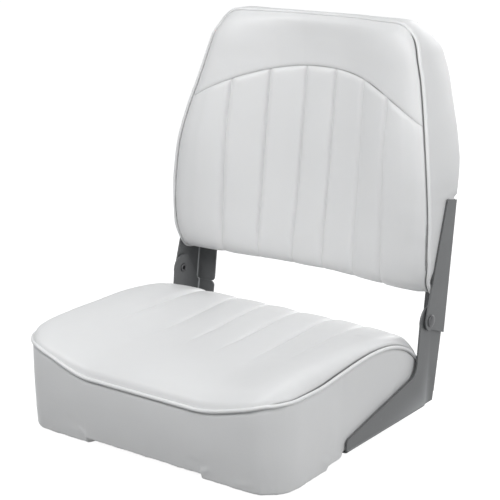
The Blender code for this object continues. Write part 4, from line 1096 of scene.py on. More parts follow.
@dataclass(frozen=True)
class VinylFinish(Finish):
    """Marine vinyl: embossed grain under a soft gloss, with faint uneven tone and painted shade along the
    seams.
    """

    grain: float = 820.0
    grain_depth: float = 0.00012
    grain_strength: float = 0.35
    tone: float = 0.975
    seam_shade_strength: float = 0.62

    def inputs(self, bench: Bench, effects: SharedEffects) -> dict:
        """What the shader's inputs get.

        Args:
            bench: The bench of the material.
            effects: The shared node groups.

        Returns:
            The inputs' values or sockets.
        """
        broad = bench.group(effects.mottle, Scale=7.0)
        close = bench.group(effects.mottle, Scale=70.0)
        tone = bench.ramp(broad, (0.0, self.shade(self.tone)), (1.0, self.colour))
        # Painted shade: the colour is darkened by the seam mark, as a seam's crease in shadow.
        light = bench.math("SUBTRACT", 1.0, bench.math("MULTIPLY", bench.mark(SEAM_SHADE), self.seam_shade_strength))
        mixed = bench.math("ADD", bench.math("MULTIPLY", broad, 0.6), bench.math("MULTIPLY", close, 0.4))
        grain = bench.group(effects.pebble, Scale=self.grain)
        return {
            "Base Color": bench.scaled(tone, light),
            "Roughness": self.rough(bench, mixed, 0.05, 0.06),
            "Normal": bench.bumps((close, 0.0003, 0.15), (grain, self.grain_depth, self.grain_strength)),
            "Specular IOR Level": 0.42,
            "Coat Weight": 0.06,
            "Coat Roughness": 0.25,
            "Subsurface Weight": 0.04,
            "Subsurface Radius": (0.004, 0.0035, 0.003),
            "Subsurface Scale": 0.5,
        }


@dataclass(frozen=True)
class ThreadFinish(Finish):
    """Polyester sewing thread, with a twist."""

    twist: float = 2600.0

    def inputs(self, bench: Bench, effects: SharedEffects) -> dict:
        """What the shader's inputs get.

        Args:
            bench: The bench of the material.
            effects: The shared node groups; not used.

        Returns:
            The inputs' values or sockets.
        """
        place = bench.add("TexCoord")["Object"]
        mapped = bench.add("Mapping", {"Vector": place, "Rotation": (0.5, 0.5, 0.8)})[0]
        wave = bench.add("TexWave", {"Vector": mapped, "Scale": self.twist, "Distortion": 1.0})["Fac"]
        return {
            "Base Color": bench.ramp(wave, (0.0, self.shade(0.82)), (1.0, self.colour)),
            "Normal": bench.bumps((wave, 0.0001, 0.4)),
            "Sheen Weight": 0.2,
        }


@dataclass(frozen=True)
class PaintFinish(Finish):
    """Grey paint baked on pressed steel: a faint orange peel, scuffs, and a painted highlight along the
    inner bends.
    """

    highlight_gain: float = 1.6

    def inputs(self, bench: Bench, effects: SharedEffects) -> dict:
        """What the shader's inputs get.

        Args:
            bench: The bench of the material.
            effects: The shared node groups.

        Returns:
            The inputs' values or sockets.
        """
        patches = bench.group(effects.mottle, Scale=26.0)
        marks = bench.group(effects.scuffs, Scale=90.0, Amount=0.55)
        tone = bench.math("ADD", bench.math("MULTIPLY", patches, 0.45), bench.math("MULTIPLY", marks, 0.55))
        colour = bench.ramp(tone, (0.0, self.shade(0.93)), (0.5, self.shade(1.06)), (1.0, self.shade(1.55)))
        # Painted highlight: the colour is lighter along the marked inner bends.
        highlighted = bench.math("MULTIPLY_ADD", bench.math("POWER", bench.mark(BEND_HIGHLIGHT), 3.0), self.highlight_gain, 1.0)
        peel = bench.group(effects.mottle, Scale=420.0)
        return {
            "Base Color": bench.scaled(colour, highlighted),
            "Roughness": self.rough(bench, patches, 0.06, 0.08),
            "Normal": bench.bumps((peel, 0.00008, 0.35)),
            "Specular IOR Level": 0.38,
            "Coat Weight": 0.05,
            "Coat Roughness": 0.3,
        }


@dataclass(frozen=True)
class ZincFinish(Finish):
    """Zinc-plated steel: cloudy plating with fine scratches."""

    def inputs(self, bench: Bench, effects: SharedEffects) -> dict:
        """What the shader's inputs get.

        Args:
            bench: The bench of the material.
            effects: The shared node groups.

        Returns:
            The inputs' values or sockets.
        """
        patches = bench.group(effects.mottle, Scale=160.0)
        marks = bench.group(effects.scuffs, Scale=500.0, Amount=0.6)
        return {
            "Base Color": bench.ramp(patches, (0.0, self.shade(0.82)), (1.0, self.shade(1.08))),
            "Roughness": self.rough(bench, patches, 0.08, 0.12),
            "Normal": bench.bumps((marks, 0.00005, 0.4), (patches, 0.00005, 0.2)),
        }


@dataclass(frozen=True)
class PlasticFinish(Finish):
    """Moulded or foamed plastic: a fine relief under a slightly cloudy tone."""

    patches: float = 18.0
    darkest: float = 0.95
    spread: tuple[float, float] = (0.05, 0.08)
    relief: tuple[float, float, float] = (1400.0, 0.0001, 0.3)

    def inputs(self, bench: Bench, effects: SharedEffects) -> dict:
        """What the shader's inputs get.

        Args:
            bench: The bench of the material.
            effects: The shared node groups.

        Returns:
            The inputs' values or sockets.
        """
        patches = bench.group(effects.mottle, Scale=self.patches)
        scale, depth, strength = self.relief
        return {
            "Base Color": bench.ramp(patches, (0.0, self.shade(self.darkest)), (1.0, self.colour)),
            "Roughness": self.rough(bench, patches, *self.spread),
            "Normal": bench.bumps((bench.group(effects.pebble, Scale=scale), depth, strength)),
        }


class Finishes:
    """Every finish of the seat, built once."""

    def __init__(self) -> None:
        """Builds the shared groups and the materials."""
        effects = SharedEffects()
        self.vinyl = VinylFinish("vinyl_white", (0.80, 0.80, 0.80), 0.42).build(effects)
        self.piping = VinylFinish(
            "vinyl_piping", (0.84, 0.84, 0.84), 0.36, grain_strength=0.15).build(effects)
        self.thread = ThreadFinish("thread_white", (0.78, 0.78, 0.77), 0.6).build(effects)
        self.paint = PaintFinish("paint_grey", (0.138, 0.142, 0.145), 0.44, 0.15).build(effects)
        self.zinc = ZincFinish("zinc_plate", (0.58, 0.58, 0.57), 0.34, 1.0).build(effects)
        self.rivet = ZincFinish("rivet_steel", (0.108, 0.109, 0.113), 0.34, 0.5).build(effects)
        self.moulding = PlasticFinish("moulded_white", (0.76, 0.76, 0.74), 0.5).build(effects)
        self.foam = PlasticFinish("foam_cut", (0.78, 0.70, 0.46), 0.9, 0.0, 30.0, 0.88, (0.0, 0.0),
                                  (900.0, 0.0006, 0.8)).build(effects)


# Cushions


@dataclass(frozen=True)
class Stitching:
    """Machine stitches along a seam."""

    length: float = 0.0030
    pitch: float = 0.0040
    radius: float = 0.0004
    sink: float = 0.0001
    sides: int = 6
    rings: tuple[tuple[float, float, float], ...] = (
        (0, 0.35, -0.6), (0.22, 1.0, 0.2), (0.78, 1.0, 0.2), (1, 0.35, -0.6))

    def lay(self, bm: BMesh, points: Sequence[Vector], normals: Sequence[Vector]) -> None:
        """Adds stitches along a line on a surface.

        Args:
            bm: The bmesh that gathers them.
            points: The line's points.
            normals: The surface's outward direction at each point.
        """
        reached = walk(points)
        for k in range(max(int(reached[-1] / self.pitch), 1)):
            ends = []
            for offset in (-self.length / 2, self.length / 2):
                target = min(max((k + 0.5) * self.pitch + offset, 0), reached[-1] - MICRON)
                index = max(i for i, value in enumerate(reached[:-1]) if value <= target)
                t = (target - reached[index]) / (reached[index + 1] - reached[index])
                ends.append((points[index].lerp(points[index + 1], t), normals[index]))
            self._one(bm, ends[0][0], ends[0][1], ends[1][0])

    def _one(self, bm: BMesh, start: Vector, up: Vector, end: Vector) -> None:
        """Adds one stitch, whose ends dip into the vinyl.

        Args:
            bm: The bmesh that gathers them.
            start: Where it starts.
            up: The surface's outward direction there.
            end: Where it ends.
        """
        along = (end - start).normalized()
        side = along.cross(up).normalized()
        length = (end - start).length
        rings = []
        for share, size, lift in self.rings:
            centre = start + along * length * share + up * (self.radius * lift - self.sink)
            rings.append([
                bm.verts.new(centre + self.radius * size * (side * math.cos(turn) + up * math.sin(turn)))
                for turn in (math.tau * k / self.sides for k in range(self.sides))
            ])
        for low, high in zip(rings, rings[1:]):
            for i in range(self.sides):
                bm.faces.new((low[i - 1], low[i], high[i], high[i - 1]))
        bm.faces.new(rings[0])
        bm.faces.new(list(reversed(rings[-1])))


@dataclass(eq=False)
class Cushion:
    """What both cushions have: covers on one form, with thread, piping and foam."""

    finishes: Finishes
    form: PadForm
    body: Body
    support: str
    vinyl: float = 0.0012
    piping_radius: float = 0.0025
    fold: float = 0.0045

    def place(self, point: Vector) -> Vector:
        """A cushion's point in the frame."""
        raise NotImplementedError

    def add_cover(self, bm: BMesh, name: str, node: str, flat: tuple[float, float]) -> None:
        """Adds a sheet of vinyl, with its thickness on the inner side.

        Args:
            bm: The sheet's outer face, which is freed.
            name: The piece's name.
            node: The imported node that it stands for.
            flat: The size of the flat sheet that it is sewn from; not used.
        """
        settings = {"thickness": self.vinyl, "offset": -1.0, "use_even_offset": False, "use_rim": True}
        mesh = evaluated(finished_mesh(bm, name, 60), "SOLIDIFY", settings)
        piece = add_piece(name, mesh, self.finishes.vinyl, self.body, Slot.VINYL, node)

    def add_thread(self, bm: BMesh, name: str) -> None:
        """Adds gathered stitches as a piece."""
        bmesh.ops.recalc_face_normals(bm, faces=bm.faces)
        add_piece(name, finished_mesh(bm, name, 50), self.finishes.thread, self.body, Slot.VINYL)

    def sew_channels(
        self,
        bm: BMesh,
        columns: list[float],
        down: list[float],
        low: float,
        high: float,
        name: str,
    ) -> None:
        """Lays thread in the grooves of a finished panel's channels.

        Args:
            bm: The panel.
            columns: Its columns.
            down: Its rows.
            low: The row after which the thread starts.
            high: The row before which it ends.
            name: The piece's name.
        """
        bm.verts.ensure_lookup_table()
        gathered = bmesh.new()
        rows = [r for r, row in enumerate(down) if low < row < high]
        for place in self.form.channel_places:
            for side in (-1, 1):
                target = side * round(self.form.channel_column * place, 5)
                number = min(range(len(columns)), key=lambda k: abs(columns[k] - target))
                verts = [bm.verts[r * len(columns) + number] for r in rows]
                Stitching().lay(gathered, [v.co.copy() for v in verts], [v.normal.copy() for v in verts])
        self.add_thread(gathered, name)

    def add_piping(self, points: list[Vector], seed: int, name: str, node: str) -> None:
        """Adds the welt cord along the seam.

        Args:
            points: Its line.
            seed: Tells cushions apart.
            name: The piece's name.
            node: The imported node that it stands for.
        """
        widths = [1 + 0.03 * noise.noise(Vector((value * 90, seed, 1))) for value in walk(points)]
        mesh = tube(points, self.piping_radius, widths, name)
        add_piece(name, mesh, self.finishes.piping, self.body, Slot.VINYL, node)

    def add_foam(
        self,
        shares: Sequence[float],
        lower: float,
        inset: float,
        behind: Callable[[Vector, float, float], Vector],
        name: str,
        node: str,
    ) -> None:
        """Adds the foam under the covers.

        Args:
            shares: The shares that it covers.
            lower: How deep it lies under the cover's form.
            inset: How far its outline is inside the cover's.
            behind: Gives the place on its other face of a (place, column, share).
            name: The piece's name.
            node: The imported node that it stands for.
        """
        columns = both_ways(spaced(0, 1, 22))
        bm = grid_sheet(columns, shares, lambda column, share: self.place(
            self.form.surface(column, share, lower=lower, inset=inset)))
        bmesh.ops.smooth_vert(bm, verts=bm.verts, factor=0.4, use_axis_x=True, use_axis_y=True,
                              use_axis_z=True)
        labels = bm.verts.layers.int.new("place")
        for index, vert in enumerate(bm.verts):
            vert[labels] = index
        made = bmesh.ops.extrude_face_region(bm, geom=bm.faces[:], use_keep_orig=True)
        for vert in (part for part in made["geom"] if isinstance(part, BMVert)):
            row, number = divmod(vert[labels], len(columns))
            vert.co = behind(vert.co, columns[number], shares[row])
        bmesh.ops.recalc_face_normals(bm, faces=bm.faces)
        piece = add_piece(name, finished_mesh(bm, name), self.finishes.foam, self.body, Slot.FOAM, node)


@dataclass(eq=False)
class SeatCushion(Cushion):
    """The seat's covers, piping, foam, stitches and staples, on the moulded pan."""

    form: PadForm = SEAT_FORM
    body: Body = Body.SEAT
    support: str = "seat_pan"
    front: float = -0.1935
    pan_half_width: float = 0.2053
    pan_front: float = -0.1881
    pan_corner: float = 0.0465
    pan_shares: tuple[float, ...] = (0, 0.058, 0.142, 0.267, 0.392, 0.517, 0.628, 0.739, 0.825, 0.893, 0.935,
                                     0.958, 0.966)
    cover_gap: float = 0.0024
    pan_taper: float = 0.0038
    taper_run: float = 0.1225
    foot_inner_x: float = 0.0945
    foot_rear_y: float = -0.0775
    foot_drop: float = 0.0055
    bracket_front_y: float = -0.043
    bracket_inner_x: float = 0.173
    bracket_level: float = 0.0072
    hem_level: float = 0.0004
    hem_width: float = 0.0145
    narrow_hem: float = 0.004
    side_limit_x: float = 0.2080
    bulge: float = 0.0020
    deck: float = 0.0303
    foam_rear: float = 0.156
    step_spread: float = 0.0007
    pan_height: float = 0.0350
    pan_ease: float = -0.0003
    full_side: float = 0.0020
    corner_push: tuple[float, float, float] = (-0.0026, -0.0010, 0.0030)
    staple_pitch: float = 0.026
    staple_crown: float = 0.0105
    staple_wire: float = 0.0009

    def build(self) -> None:
        """Makes every piece of the cushion."""
        self.make_top()
        self.make_side()
        points = [self.place(self.form.seam(side, share)) for side, share in self.side_places()]
        self.add_piping(points, 3, "seat_welt", "seat_piping")
        self.add_foam(spaced(0.02, 0.93, 34), 0.0075, 0.0095, self.on_deck, "seat_pad", "seat_foam")
        self.make_staples()

    def place(self, point: Vector) -> Vector:
        """A cushion's point in the frame, where the padding pushes one front corner out a little.

        Args:
            point: The point as (x, run, rise).

        Returns:
            The place.
        """
        y = self.front + point.y
        pushed = (ramp(-point.x, 0.12, 0.19) * (1 - ramp(y, -0.15, -0.02))
                  * ramp(point.z, 0.06, 0.105))
        return Vector((point.x, y, point.z)) + Vector(self.corner_push) * pushed

    def on_deck(self, place: Vector, column: float, share: float) -> Vector:
        """The place on the pan's deck under a place on the foam."""
        return Vector((place.x, min(place.y, self.foam_rear), self.deck))

    def past(self, value: float, edge: float) -> float:
        """1 past an edge of the pan and 0 before it, over a narrow step."""
        return ramp(value, edge - self.step_spread, edge + self.step_spread)

    def under_foot(self, x: float, y: float) -> float:
        """1 under a front foot and 0 away from it."""
        return self.past(abs(x), self.foot_inner_x) * self.past(-y, -self.foot_rear_y)

    def over_bracket(self, x: float, y: float) -> float:
        """1 over a bracket's base flange and 0 away from it."""
        return self.past(y, self.bracket_front_y) * self.past(abs(x), self.bracket_inner_x)

    def level(self, x: float, y: float) -> float:
        """The height of the underside of the cover's lower edge."""
        lift = (self.bracket_level - self.hem_level) * self.over_bracket(x, y)
        return self.hem_level - self.foot_drop * self.under_foot(x, y) + lift

    def base(self, side: float, share: float, inset: float) -> Vector:
        """A point of the outline round the pan, under the seam.

        Args:
            side: The seam's side.
            share: The seam's share.
            inset: How far the point is moved in.

        Returns:
            The point, at the height 0.
        """
        half = self.pan_half_width + self.cover_gap - inset
        front = self.pan_front - self.cover_gap + inset
        lag = (self.front - front) * ramp(share, 0, 0.12)
        run = self.form.length * value_at(self.pan_shares, share) + lag
        x, run = round_corner(side * half, max(run, 0), half, self.pan_corner - inset)
        if abs(side) == 1:
            past = (front + run - self.foot_rear_y) / self.taper_run
            x -= side * self.pan_taper * min(max(past, 0), 1)
        return Vector((x, front + run, 0))

    def fullness(self, place: Vector) -> float:
        """Where this cushion is fuller or slacker than its plain outline.

        Args:
            place: The place on the cover.

        Returns:
            The lift.
        """
        lift = self.full_side * ramp(-place.x, 0.10, 0.17) * (1 - ramp(-place.x, 0.185, 0.205))
        lift *= ramp(place.y, -0.16, -0.02) * (1 - ramp(place.y, 0.08, 0.15))
        return lift + 0.0007 * sway(place, 18, 1.0) + 0.0003 * sway(place, 60, 4.0)

    def top_relief(self, place: Vector, column: float, share: float) -> Relief:
        """The relief of the top panel.

        Args:
            place: The place on it.
            column: Its column.
            share: Its share.

        Returns:
            The lift and the distance from the seam.
        """
        if share >= 1:
            return 0.0, FAR
        form = self.form
        away = form.to_side(column, share)
        beside = min(away, share * form.length)
        ahead = 1 - ramp(share, 0.9, 1)
        lift = self.fullness(place) + sum(crease.at(place) for crease in SEAT_TOP_CREASES)
        lift *= ramp(away, 0, 0.012) * ramp(share, 0, 0.03) * ahead
        lift -= form.relief(column, share) + form.tuck(beside) * (1 - ramp(share, 0.93, 1))
        lift += 0.0006 * pucker(place.y, away, 1 if column > 0 else 2) * ahead
        lift += 0.0005 * pucker(place.x, share * form.length, 3) * (share < 0.2)
        lift += form.gathers(place.y, column, 7) * ramp(share, *form.channel_fade[:2])
        return lift, form.beside_cord(beside)

    def make_top(self) -> None:
        """The top panel with its sewn channels, over the rear edge and under the pan as a hem."""
        columns = self.form.columns()
        shares = sorted(set(spaced(0, 1, 150)) | {0.0012, 0.0026, 0.0042, 0.009, 0.0105, 0.016})
        down = [*shares, *(1 + 0.1 * k for k in range(1, 6)), 2.0]

        def point_at(column: float, row: float) -> Vector:
            """The place of a column and a row, which passes 1 round the fold and is 2 at the hem's end."""
            end = self.place(self.form.surface(column, min(row, 1)))
            if row <= 1:
                return end
            level = self.level(end.x, end.y)
            if row == 2.0:
                width = self.narrow_hem if abs(end.x) > self.bracket_inner_x else self.hem_width
                return Vector((end.x, end.y - width, level))
            inward, above = quarter_turn((row - 1) / 0.5)
            return Vector((end.x, end.y - self.fold * inward, level + self.fold * above))

        bm = panel_sheet(columns, down, point_at, self.top_relief, Vector((0, 0, 0.05)))
        low, high, end = self.form.channel_fade
        self.sew_channels(bm, columns, down, (low + high) / 2, (1 + end) / 2, "seat_stitches")
        self.add_cover(bm, "seat_cover_top", "seat_top_panel", (0.45, 0.56))

    def side_places(self) -> list[tuple[float, float]]:
        """Places round the side band, about every 3 mm and closer at the feet."""
        half_width = self.form.half_width
        step = self.foot_inner_x / half_width
        near = [value * MM / half_width for value in (-2.4, -1.6, -0.8, 0, 0.8, 1.6, 2.4)]
        fronts = set(spaced(-1, 1, 150)) | {side * step + value for value in near for side in (-1, 1)}
        rows = set(spaced(0, 1, 140)) | {0.002, 0.004} | set(spaced(0.29, 0.34, 40))
        return self.form.seam_places(sorted(rows)[1:], sorted(fronts, reverse=True))

    def make_side(self) -> None:
        """The side band: from the piping down to the pan, round its lower edge and under it as a hem."""
        places = self.side_places()
        seams = [self.place(self.form.seam(side, share)) for side, share in places]
        bases = [self.base(side, share, 0) for side, share in places]
        reached = walk(seams)
        steps = [bases[min(i + 1, len(bases) - 1)] - bases[max(i - 1, 0)] for i in range(len(bases))]
        normals = [Vector((-step.y, step.x, 0)).normalized() for step in steps]
        down = [*spaced(0, 1, 30), *(1 + 0.1 * k for k in range(1, 8)), 2.0]
        levels = [self.level(base.x, base.y) for base in bases]

        def point_at(i: int, height: float) -> Vector:
            """The place of a column and a row, which passes 1 round the edge and is 2 at the hem's end."""
            side, share = places[i]
            round_edge = 0.0040 + 0.0010 * self.under_foot(bases[i].x, bases[i].y)
            foot = Vector((bases[i].x, bases[i].y, levels[i] + round_edge))
            if height <= 1:
                point = seams[i].lerp(foot, height)
                swell = self.bulge * (1 - ramp(foot.y, self.foot_rear_y, self.bracket_front_y))
                swell *= 1 - 1.9 * ramp(-normals[i].x, 0.5, 0.95)
                point += normals[i] * swell * 4 * height * (1 - height)
                if foot.y > self.bracket_front_y - 0.006:
                    point.x = math.copysign(min(abs(point.x), self.side_limit_x), point.x)
                return point
            inward, above = quarter_turn(min((height - 1) / 0.7, 1))
            inner = self.base(side, share, self.hem_width if height == 2.0 else round_edge * inward)
            return Vector((inner.x, inner.y, levels[i] + round_edge * above))

        def relief_at(place: Vector, i: int, height: float) -> Relief:
            """The lift of a place and its distance from the seam."""
            depth = height * (seams[i].z - levels[i])
            if height >= 1.7:
                return 0.0, self.form.beside_cord(depth)
            beside = ramp(place.y, -0.06, -0.03)
            lift = 0.0006 * sway(place, 22, 9.0) * (1 - beside)
            lift += sum(crease.at(place) for crease in SEAT_SIDE_CREASES)
            lift *= ramp(depth, 0, 0.01)
            lift += 0.0007 * pucker(reached[i], depth, 11)
            low_edge = max((1 - height) * seams[i].z, 0)
            lift += 0.0007 * pucker(reached[i], low_edge + 0.003, 12, 0.016, 0.010)
            if place.z < self.pan_height:
                lift = max(lift, self.pan_ease)
            if beside > 0:
                lift = min(lift, 0.0005 if abs(place.x) < self.side_limit_x - 0.001 else 0.0)
            return lift - self.form.tuck(depth), self.form.beside_cord(depth)

        bm = panel_sheet(range(len(places)), down, point_at, relief_at, Vector((0, 0, 0.05)))
        self.add_cover(bm, "seat_cover_side", "seat_boxing", (0.125, 1.13))

    def make_staples(self) -> None:
        """The staples that hold the hem to the pan."""
        draw = random.Random(5)
        middle = [self.base(side, share, self.hem_width * 0.62) for side, share in self.side_places()]
        reached = walk(middle)
        bm = bmesh.new()
        for k in range(int(reached[-1] / self.staple_pitch)):
            target = (k + 0.5) * self.staple_pitch
            i = max(j for j, value in enumerate(reached) if value <= target)
            x, y, _ = middle[i]
            if self.over_bracket(x, y) > 0.01 or 0 < self.under_foot(x, y) < 1:
                continue
            along = (middle[min(i + 1, len(middle) - 1)] - middle[max(i - 1, 0)]).normalized()
            self._staple(bm, Vector((x, y, self.level(x, y))), along, draw)
        rear = self.form.surface(0, 1).y + self.front - self.hem_width * 0.55
        for x in spaced(-0.15, 0.15, 12):
            self._staple(bm, Vector((x, rear, self.hem_level)), Vector((1, 0, 0)), draw)
        mesh = finished_mesh(bm, "hem_staples", 50)
        add_piece("hem_staples", mesh, self.finishes.zinc, Body.SEAT, Slot.ZINC)

    def _staple(self, bm: BMesh, place: Vector, along: Vector, draw: random.Random) -> None:
        """Adds one staple from below: its crown lies on the hem, and its legs run up into the pan.

        Args:
            bm: The bmesh that gathers them.
            place: The middle of its crown.
            along: The direction of its crown, before a small turn by chance.
            draw: The source of chance.
        """
        along = Matrix.Rotation(draw.uniform(-0.25, 0.25), 4, "Z") @ along
        turned = Matrix.Translation(place) @ Matrix.Rotation(math.atan2(along.y, along.x), 4, "Z")
        wire = self.staple_wire
        reach = self.staple_crown / 2 - wire / 2
        for x, z, size in ((0, -wire / 2, (self.staple_crown, wire * 1.3, wire)),
                           (-reach, 0.0012, (wire, wire * 1.3, 0.003)),
                           (reach, 0.0012, (wire, wire * 1.3, 0.003))):
            add_block(bm, size, turned @ Matrix.Translation((x, 0, z)))


@dataclass(eq=False)
class BackCushion(Cushion):
    """The back's covers, piping, foam and stitches, round the moulded shell."""

    form: PadForm = BACK_FORM
    body: Body = Body.BACK
    support: str = "back_shell"
    top: float = 0.5195
    rear: float = 0.2525
    side_limit_x: float = 0.2119
    high_limit_x: float = 0.2150
    piping_limit_x: float = 0.2145
    cord_stand: float = 0.0008
    # Painted shade along the bottom edge, where the cover turns under: an offset that eases it, and a factor
    # that spreads it up the panel.
    edge_shade_offset: float = 0.0004
    edge_shade_spread: float = 0.30
    arm_top: float = 0.2908
    arch_height: float = 0.4470
    arch_drop: float = 0.0530
    arch_tuck: float = 0.0021
    arch_radius: float = 0.0015
    # Painted shade along the arched seam is eased by this offset.
    arch_shade_offset: float = 0.0009
    wrap: float = 0.008
    foam_inset: float = 0.006
    rear_bulge: float = 0.010
    bulges: tuple[float, ...] = (-1.4, 0.15, 1.07, 1.28, 1.22, 1.22, 1.12, 0.48, -0.12, 0, 0, 0, 0)
    heights: tuple[float, ...] = (0, 0.0486, 0.1125, 0.196, 0.293, 0.404, 0.529, 0.654, 0.779, 0.870, 0.925,
                                  0.962, 0.973)
    rear_spread: float = 0.0035
    spreads: tuple[float, ...] = (0, 0.5, 0.6, 0.6, 0.7, 0.9, 1, 1, 0, 0, 0, 0, 0)
    side_swell: float = 0.0022
    stop_y: float = 0.2012
    stop_z: float = 0.1037
    arm_top_y: float = 0.2241
    arm_top_z: float = 0.2858
    sheet_metal: float = 0.0028

    def build(self) -> None:
        """Makes every piece of the cushion."""
        self.make_upper()
        self.make_lower()
        self.make_side()
        self.make_piping()
        self.make_rear()
        shares = spaced(0.01, 0.985, 34)
        self.add_foam(shares, 0.0085, self.foam_inset, self.on_shell, "back_pad", "back_foam")

    def place(self, point: Vector) -> Vector:
        """A cushion's point in the frame."""
        return Vector((point.x, self.rear - point.z, self.top - point.y))

    def on_shell(self, place: Vector, column: float, share: float) -> Vector:
        """The place on the shell behind a place on the foam."""
        return self.rear_point(column, share, self.foam_inset, 0.0115)

    def rear_y(self, share: float) -> float:
        """The rear face of the cover, which lies in front of the arms' flanges.

        Args:
            share: The share of its height below the top seam.

        Returns:
            Its place along Y.
        """
        z = self.top - share * self.form.length
        lean = (self.arm_top_y - self.stop_y) / (self.arm_top_z - self.stop_z)
        arm = self.stop_y + (z - self.stop_z) * lean
        return arm - self.sheet_metal + self.rear_bulge * value_at(self.bulges, min(share, 1))

    def outline(self, column: float, share: float, inset: float) -> tuple[float, float]:
        """A point of the rear face, seen from behind.

        Args:
            column: The column, from -1 to 1.
            share: The share from the top to the bottom.
            inset: How far the face's edge is moved in.

        Returns:
            The point as (x, run).
        """
        run = self.form.length * value_at(self.heights, share)
        limit = self.high_limit_x if self.top - run > self.arm_top else self.side_limit_x
        half = min(self.form.half(share) + self.rear_spread * value_at(self.spreads, share), limit)
        x, run = round_corner(column * half, run, self.form.half(0), self.form.corner)
        centre = self.form.length * self.heights[-1] / 2
        return x * (1 - inset / self.form.half(0)), centre + (run - centre) * (1 - inset / centre)

    def rear_point(self, column: float, share: float, inset: float, depth: float) -> Vector:
        """A place on the rear face, or depth in front of it."""
        x, run = self.outline(column, share, inset)
        return Vector((x, self.rear_y(run / self.form.length) - depth, self.top - run))

    @lru_cache(maxsize=None)
    def arch_share(self, column: float) -> float:
        """The share at which the arched seam crosses a column, found by halving.

        Args:
            column: The column, from -1 to 1.

        Returns:
            The share.
        """
        low, high = 0.0, 0.6
        for _ in range(30):
            middle = (low + high) / 2
            point = self.place(self.form.surface(column, middle))
            if point.z > self.arch_height - self.arch_drop * (point.x / self.form.half(1 / 3)) ** 2:
                low = middle
            else:
                high = middle
        return low

    def fullness(self, place: Vector) -> float:
        """The slow unevenness of stretched vinyl over foam."""
        return 0.0007 * sway(place, 16, 6.0) + 0.0003 * sway(place, 55, 8.0)

    def arch_fall(self, column: float, away: float) -> float:
        """How far the arched seam pulls the cover in at a distance from it."""
        inner = 1 - self.form.edge_drop(abs(self.form.across_of(column, 0.3)))
        return self.arch_tuck * inner / (1 + (away / self.arch_radius) ** 2)

    def upper_relief(self, place: Vector, column: float, step: float) -> Relief:
        """The relief of the upper panel.

        Args:
            place: The place on it.
            column: Its column.
            step: Its share of the way down to the arched seam.

        Returns:
            The lift and the distance from a seam.
        """
        form = self.form
        share = step * self.arch_share(column)
        away = form.to_side(column, share)
        beside = min(away, share * form.length)
        to_arch = (1 - step) * self.arch_share(column) * form.length
        calm = ramp(away, 0, 0.012) * ramp(share, 0, 0.04)
        lift = self.fullness(place) * calm - self.arch_fall(column, to_arch) - form.tuck(beside)
        lift += 0.0005 * pucker(place.z, away, 21 if column > 0 else 22)
        lift += 0.0006 * pucker(place.x, share * form.length, 23)
        lift += 0.0004 * pucker(place.x, to_arch, 24, 0.014, 0.010) * calm
        # The distance sets the painted shade beside the piping seams and along the arched seam.
        return lift, min(form.beside_cord(beside), to_arch + self.arch_shade_offset)

    def make_upper(self) -> None:
        """The plain upper panel, down to the arched seam."""
        columns = self.form.columns()
        steps = sorted(set(spaced(0, 1, 44)) | {0.006, 0.015, 0.985, 0.992, 0.996})
        inside = Vector((0, 0.35, 0.45))
        bm = panel_sheet(columns, steps, lambda column, row: self.place(
            self.form.surface(column, row * self.arch_share(column))), self.upper_relief, inside)
        self.add_cover(bm, "back_cover_upper", "back_upper_panel", (0.40, 0.10))

    def lower_relief(self, place: Vector, column: float, step: float) -> Relief:
        """The relief of the lower panel.

        Args:
            place: The place on it.
            column: Its column.
            step: Its share of the way from the arched seam to the bottom edge, and past 1 under it.

        Returns:
            The lift and the distance from a seam.
        """
        # Under the bottom edge the cover is not moved; its first turn gets painted shade, a thin dark line
        # where it turns under.
        if step >= 1:
            return 0.0, self.edge_shade_offset if step < 1.05 else FAR
        form = self.form
        start = self.arch_share(column)
        share = start + step * (1 - start)
        away = form.to_side(column, share)
        from_arch = step * (1 - start) * form.length
        from_edge = (1 - share) * form.length * self.edge_shade_spread
        calm = ramp(away, 0, 0.012) * (1 - ramp(share, 0.92, 1))
        lift = self.fullness(place) * calm - self.arch_fall(column, from_arch)
        lift -= form.tuck(away) * (1 - ramp(share, 0.93, 1))
        lift -= form.relief(column, share) * ramp(from_arch, -0.004, 0.006)
        lift += 0.0005 * pucker(place.z, away, 25 if column > 0 else 26) * (share < 0.97)
        lift += 0.0004 * pucker(place.x, from_arch, 27, 0.014, 0.010) * calm
        lift += form.gathers(place.z, column, 30) * calm
        # The distance sets the painted shade beside the side seams, along the arched seam and along the
        # bottom edge.
        return lift, min(form.beside_cord(away), from_arch + self.arch_shade_offset, from_edge + self.edge_shade_offset)

    def make_lower(self) -> None:
        """The channelled lower panel, from the arched seam round the bottom edge to the rear."""
        columns = self.form.columns()
        steps = sorted(set(spaced(0, 1, 110)) | {0.001, 0.003, 0.006})
        down = [*steps, *(1 + 0.1 * k for k in range(1, 9))]

        def point_at(column: float, row: float) -> Vector:
            """The place of a column and a row, which passes 1 under the bottom edge."""
            if row <= 1:
                start = self.arch_share(column)
                return self.place(self.form.surface(column, start + row * (1 - start)))
            share = (row - 1) / 0.8
            low = self.place(self.form.surface(column, 1))
            high = self.rear_point(self.form.across_of(column, 1), 1, self.wrap, 0)
            corner = Vector((low.x, (low.y + high.y) / 2 + 0.004, low.z - 0.0005))
            return low.lerp(corner, share).lerp(corner.lerp(high, share), share)

        bm = panel_sheet(columns, down, point_at, self.lower_relief, Vector((0, 0.30, 0.30)))
        self.sew_channels(bm, columns, down, 0.01, 0.93, "back_stitches")
        self.add_cover(bm, "back_cover_lower", "back_lower_panel", (0.45, 0.36))

    def side_places(self) -> list[tuple[float, float]]:
        """Places round the side band, about every 3 mm."""
        rows = sorted(set(spaced(0, 1, 130)) | {0.002, 0.004})
        return self.form.seam_places(rows[1:], sorted(set(spaced(-1, 1, 110)), reverse=True))

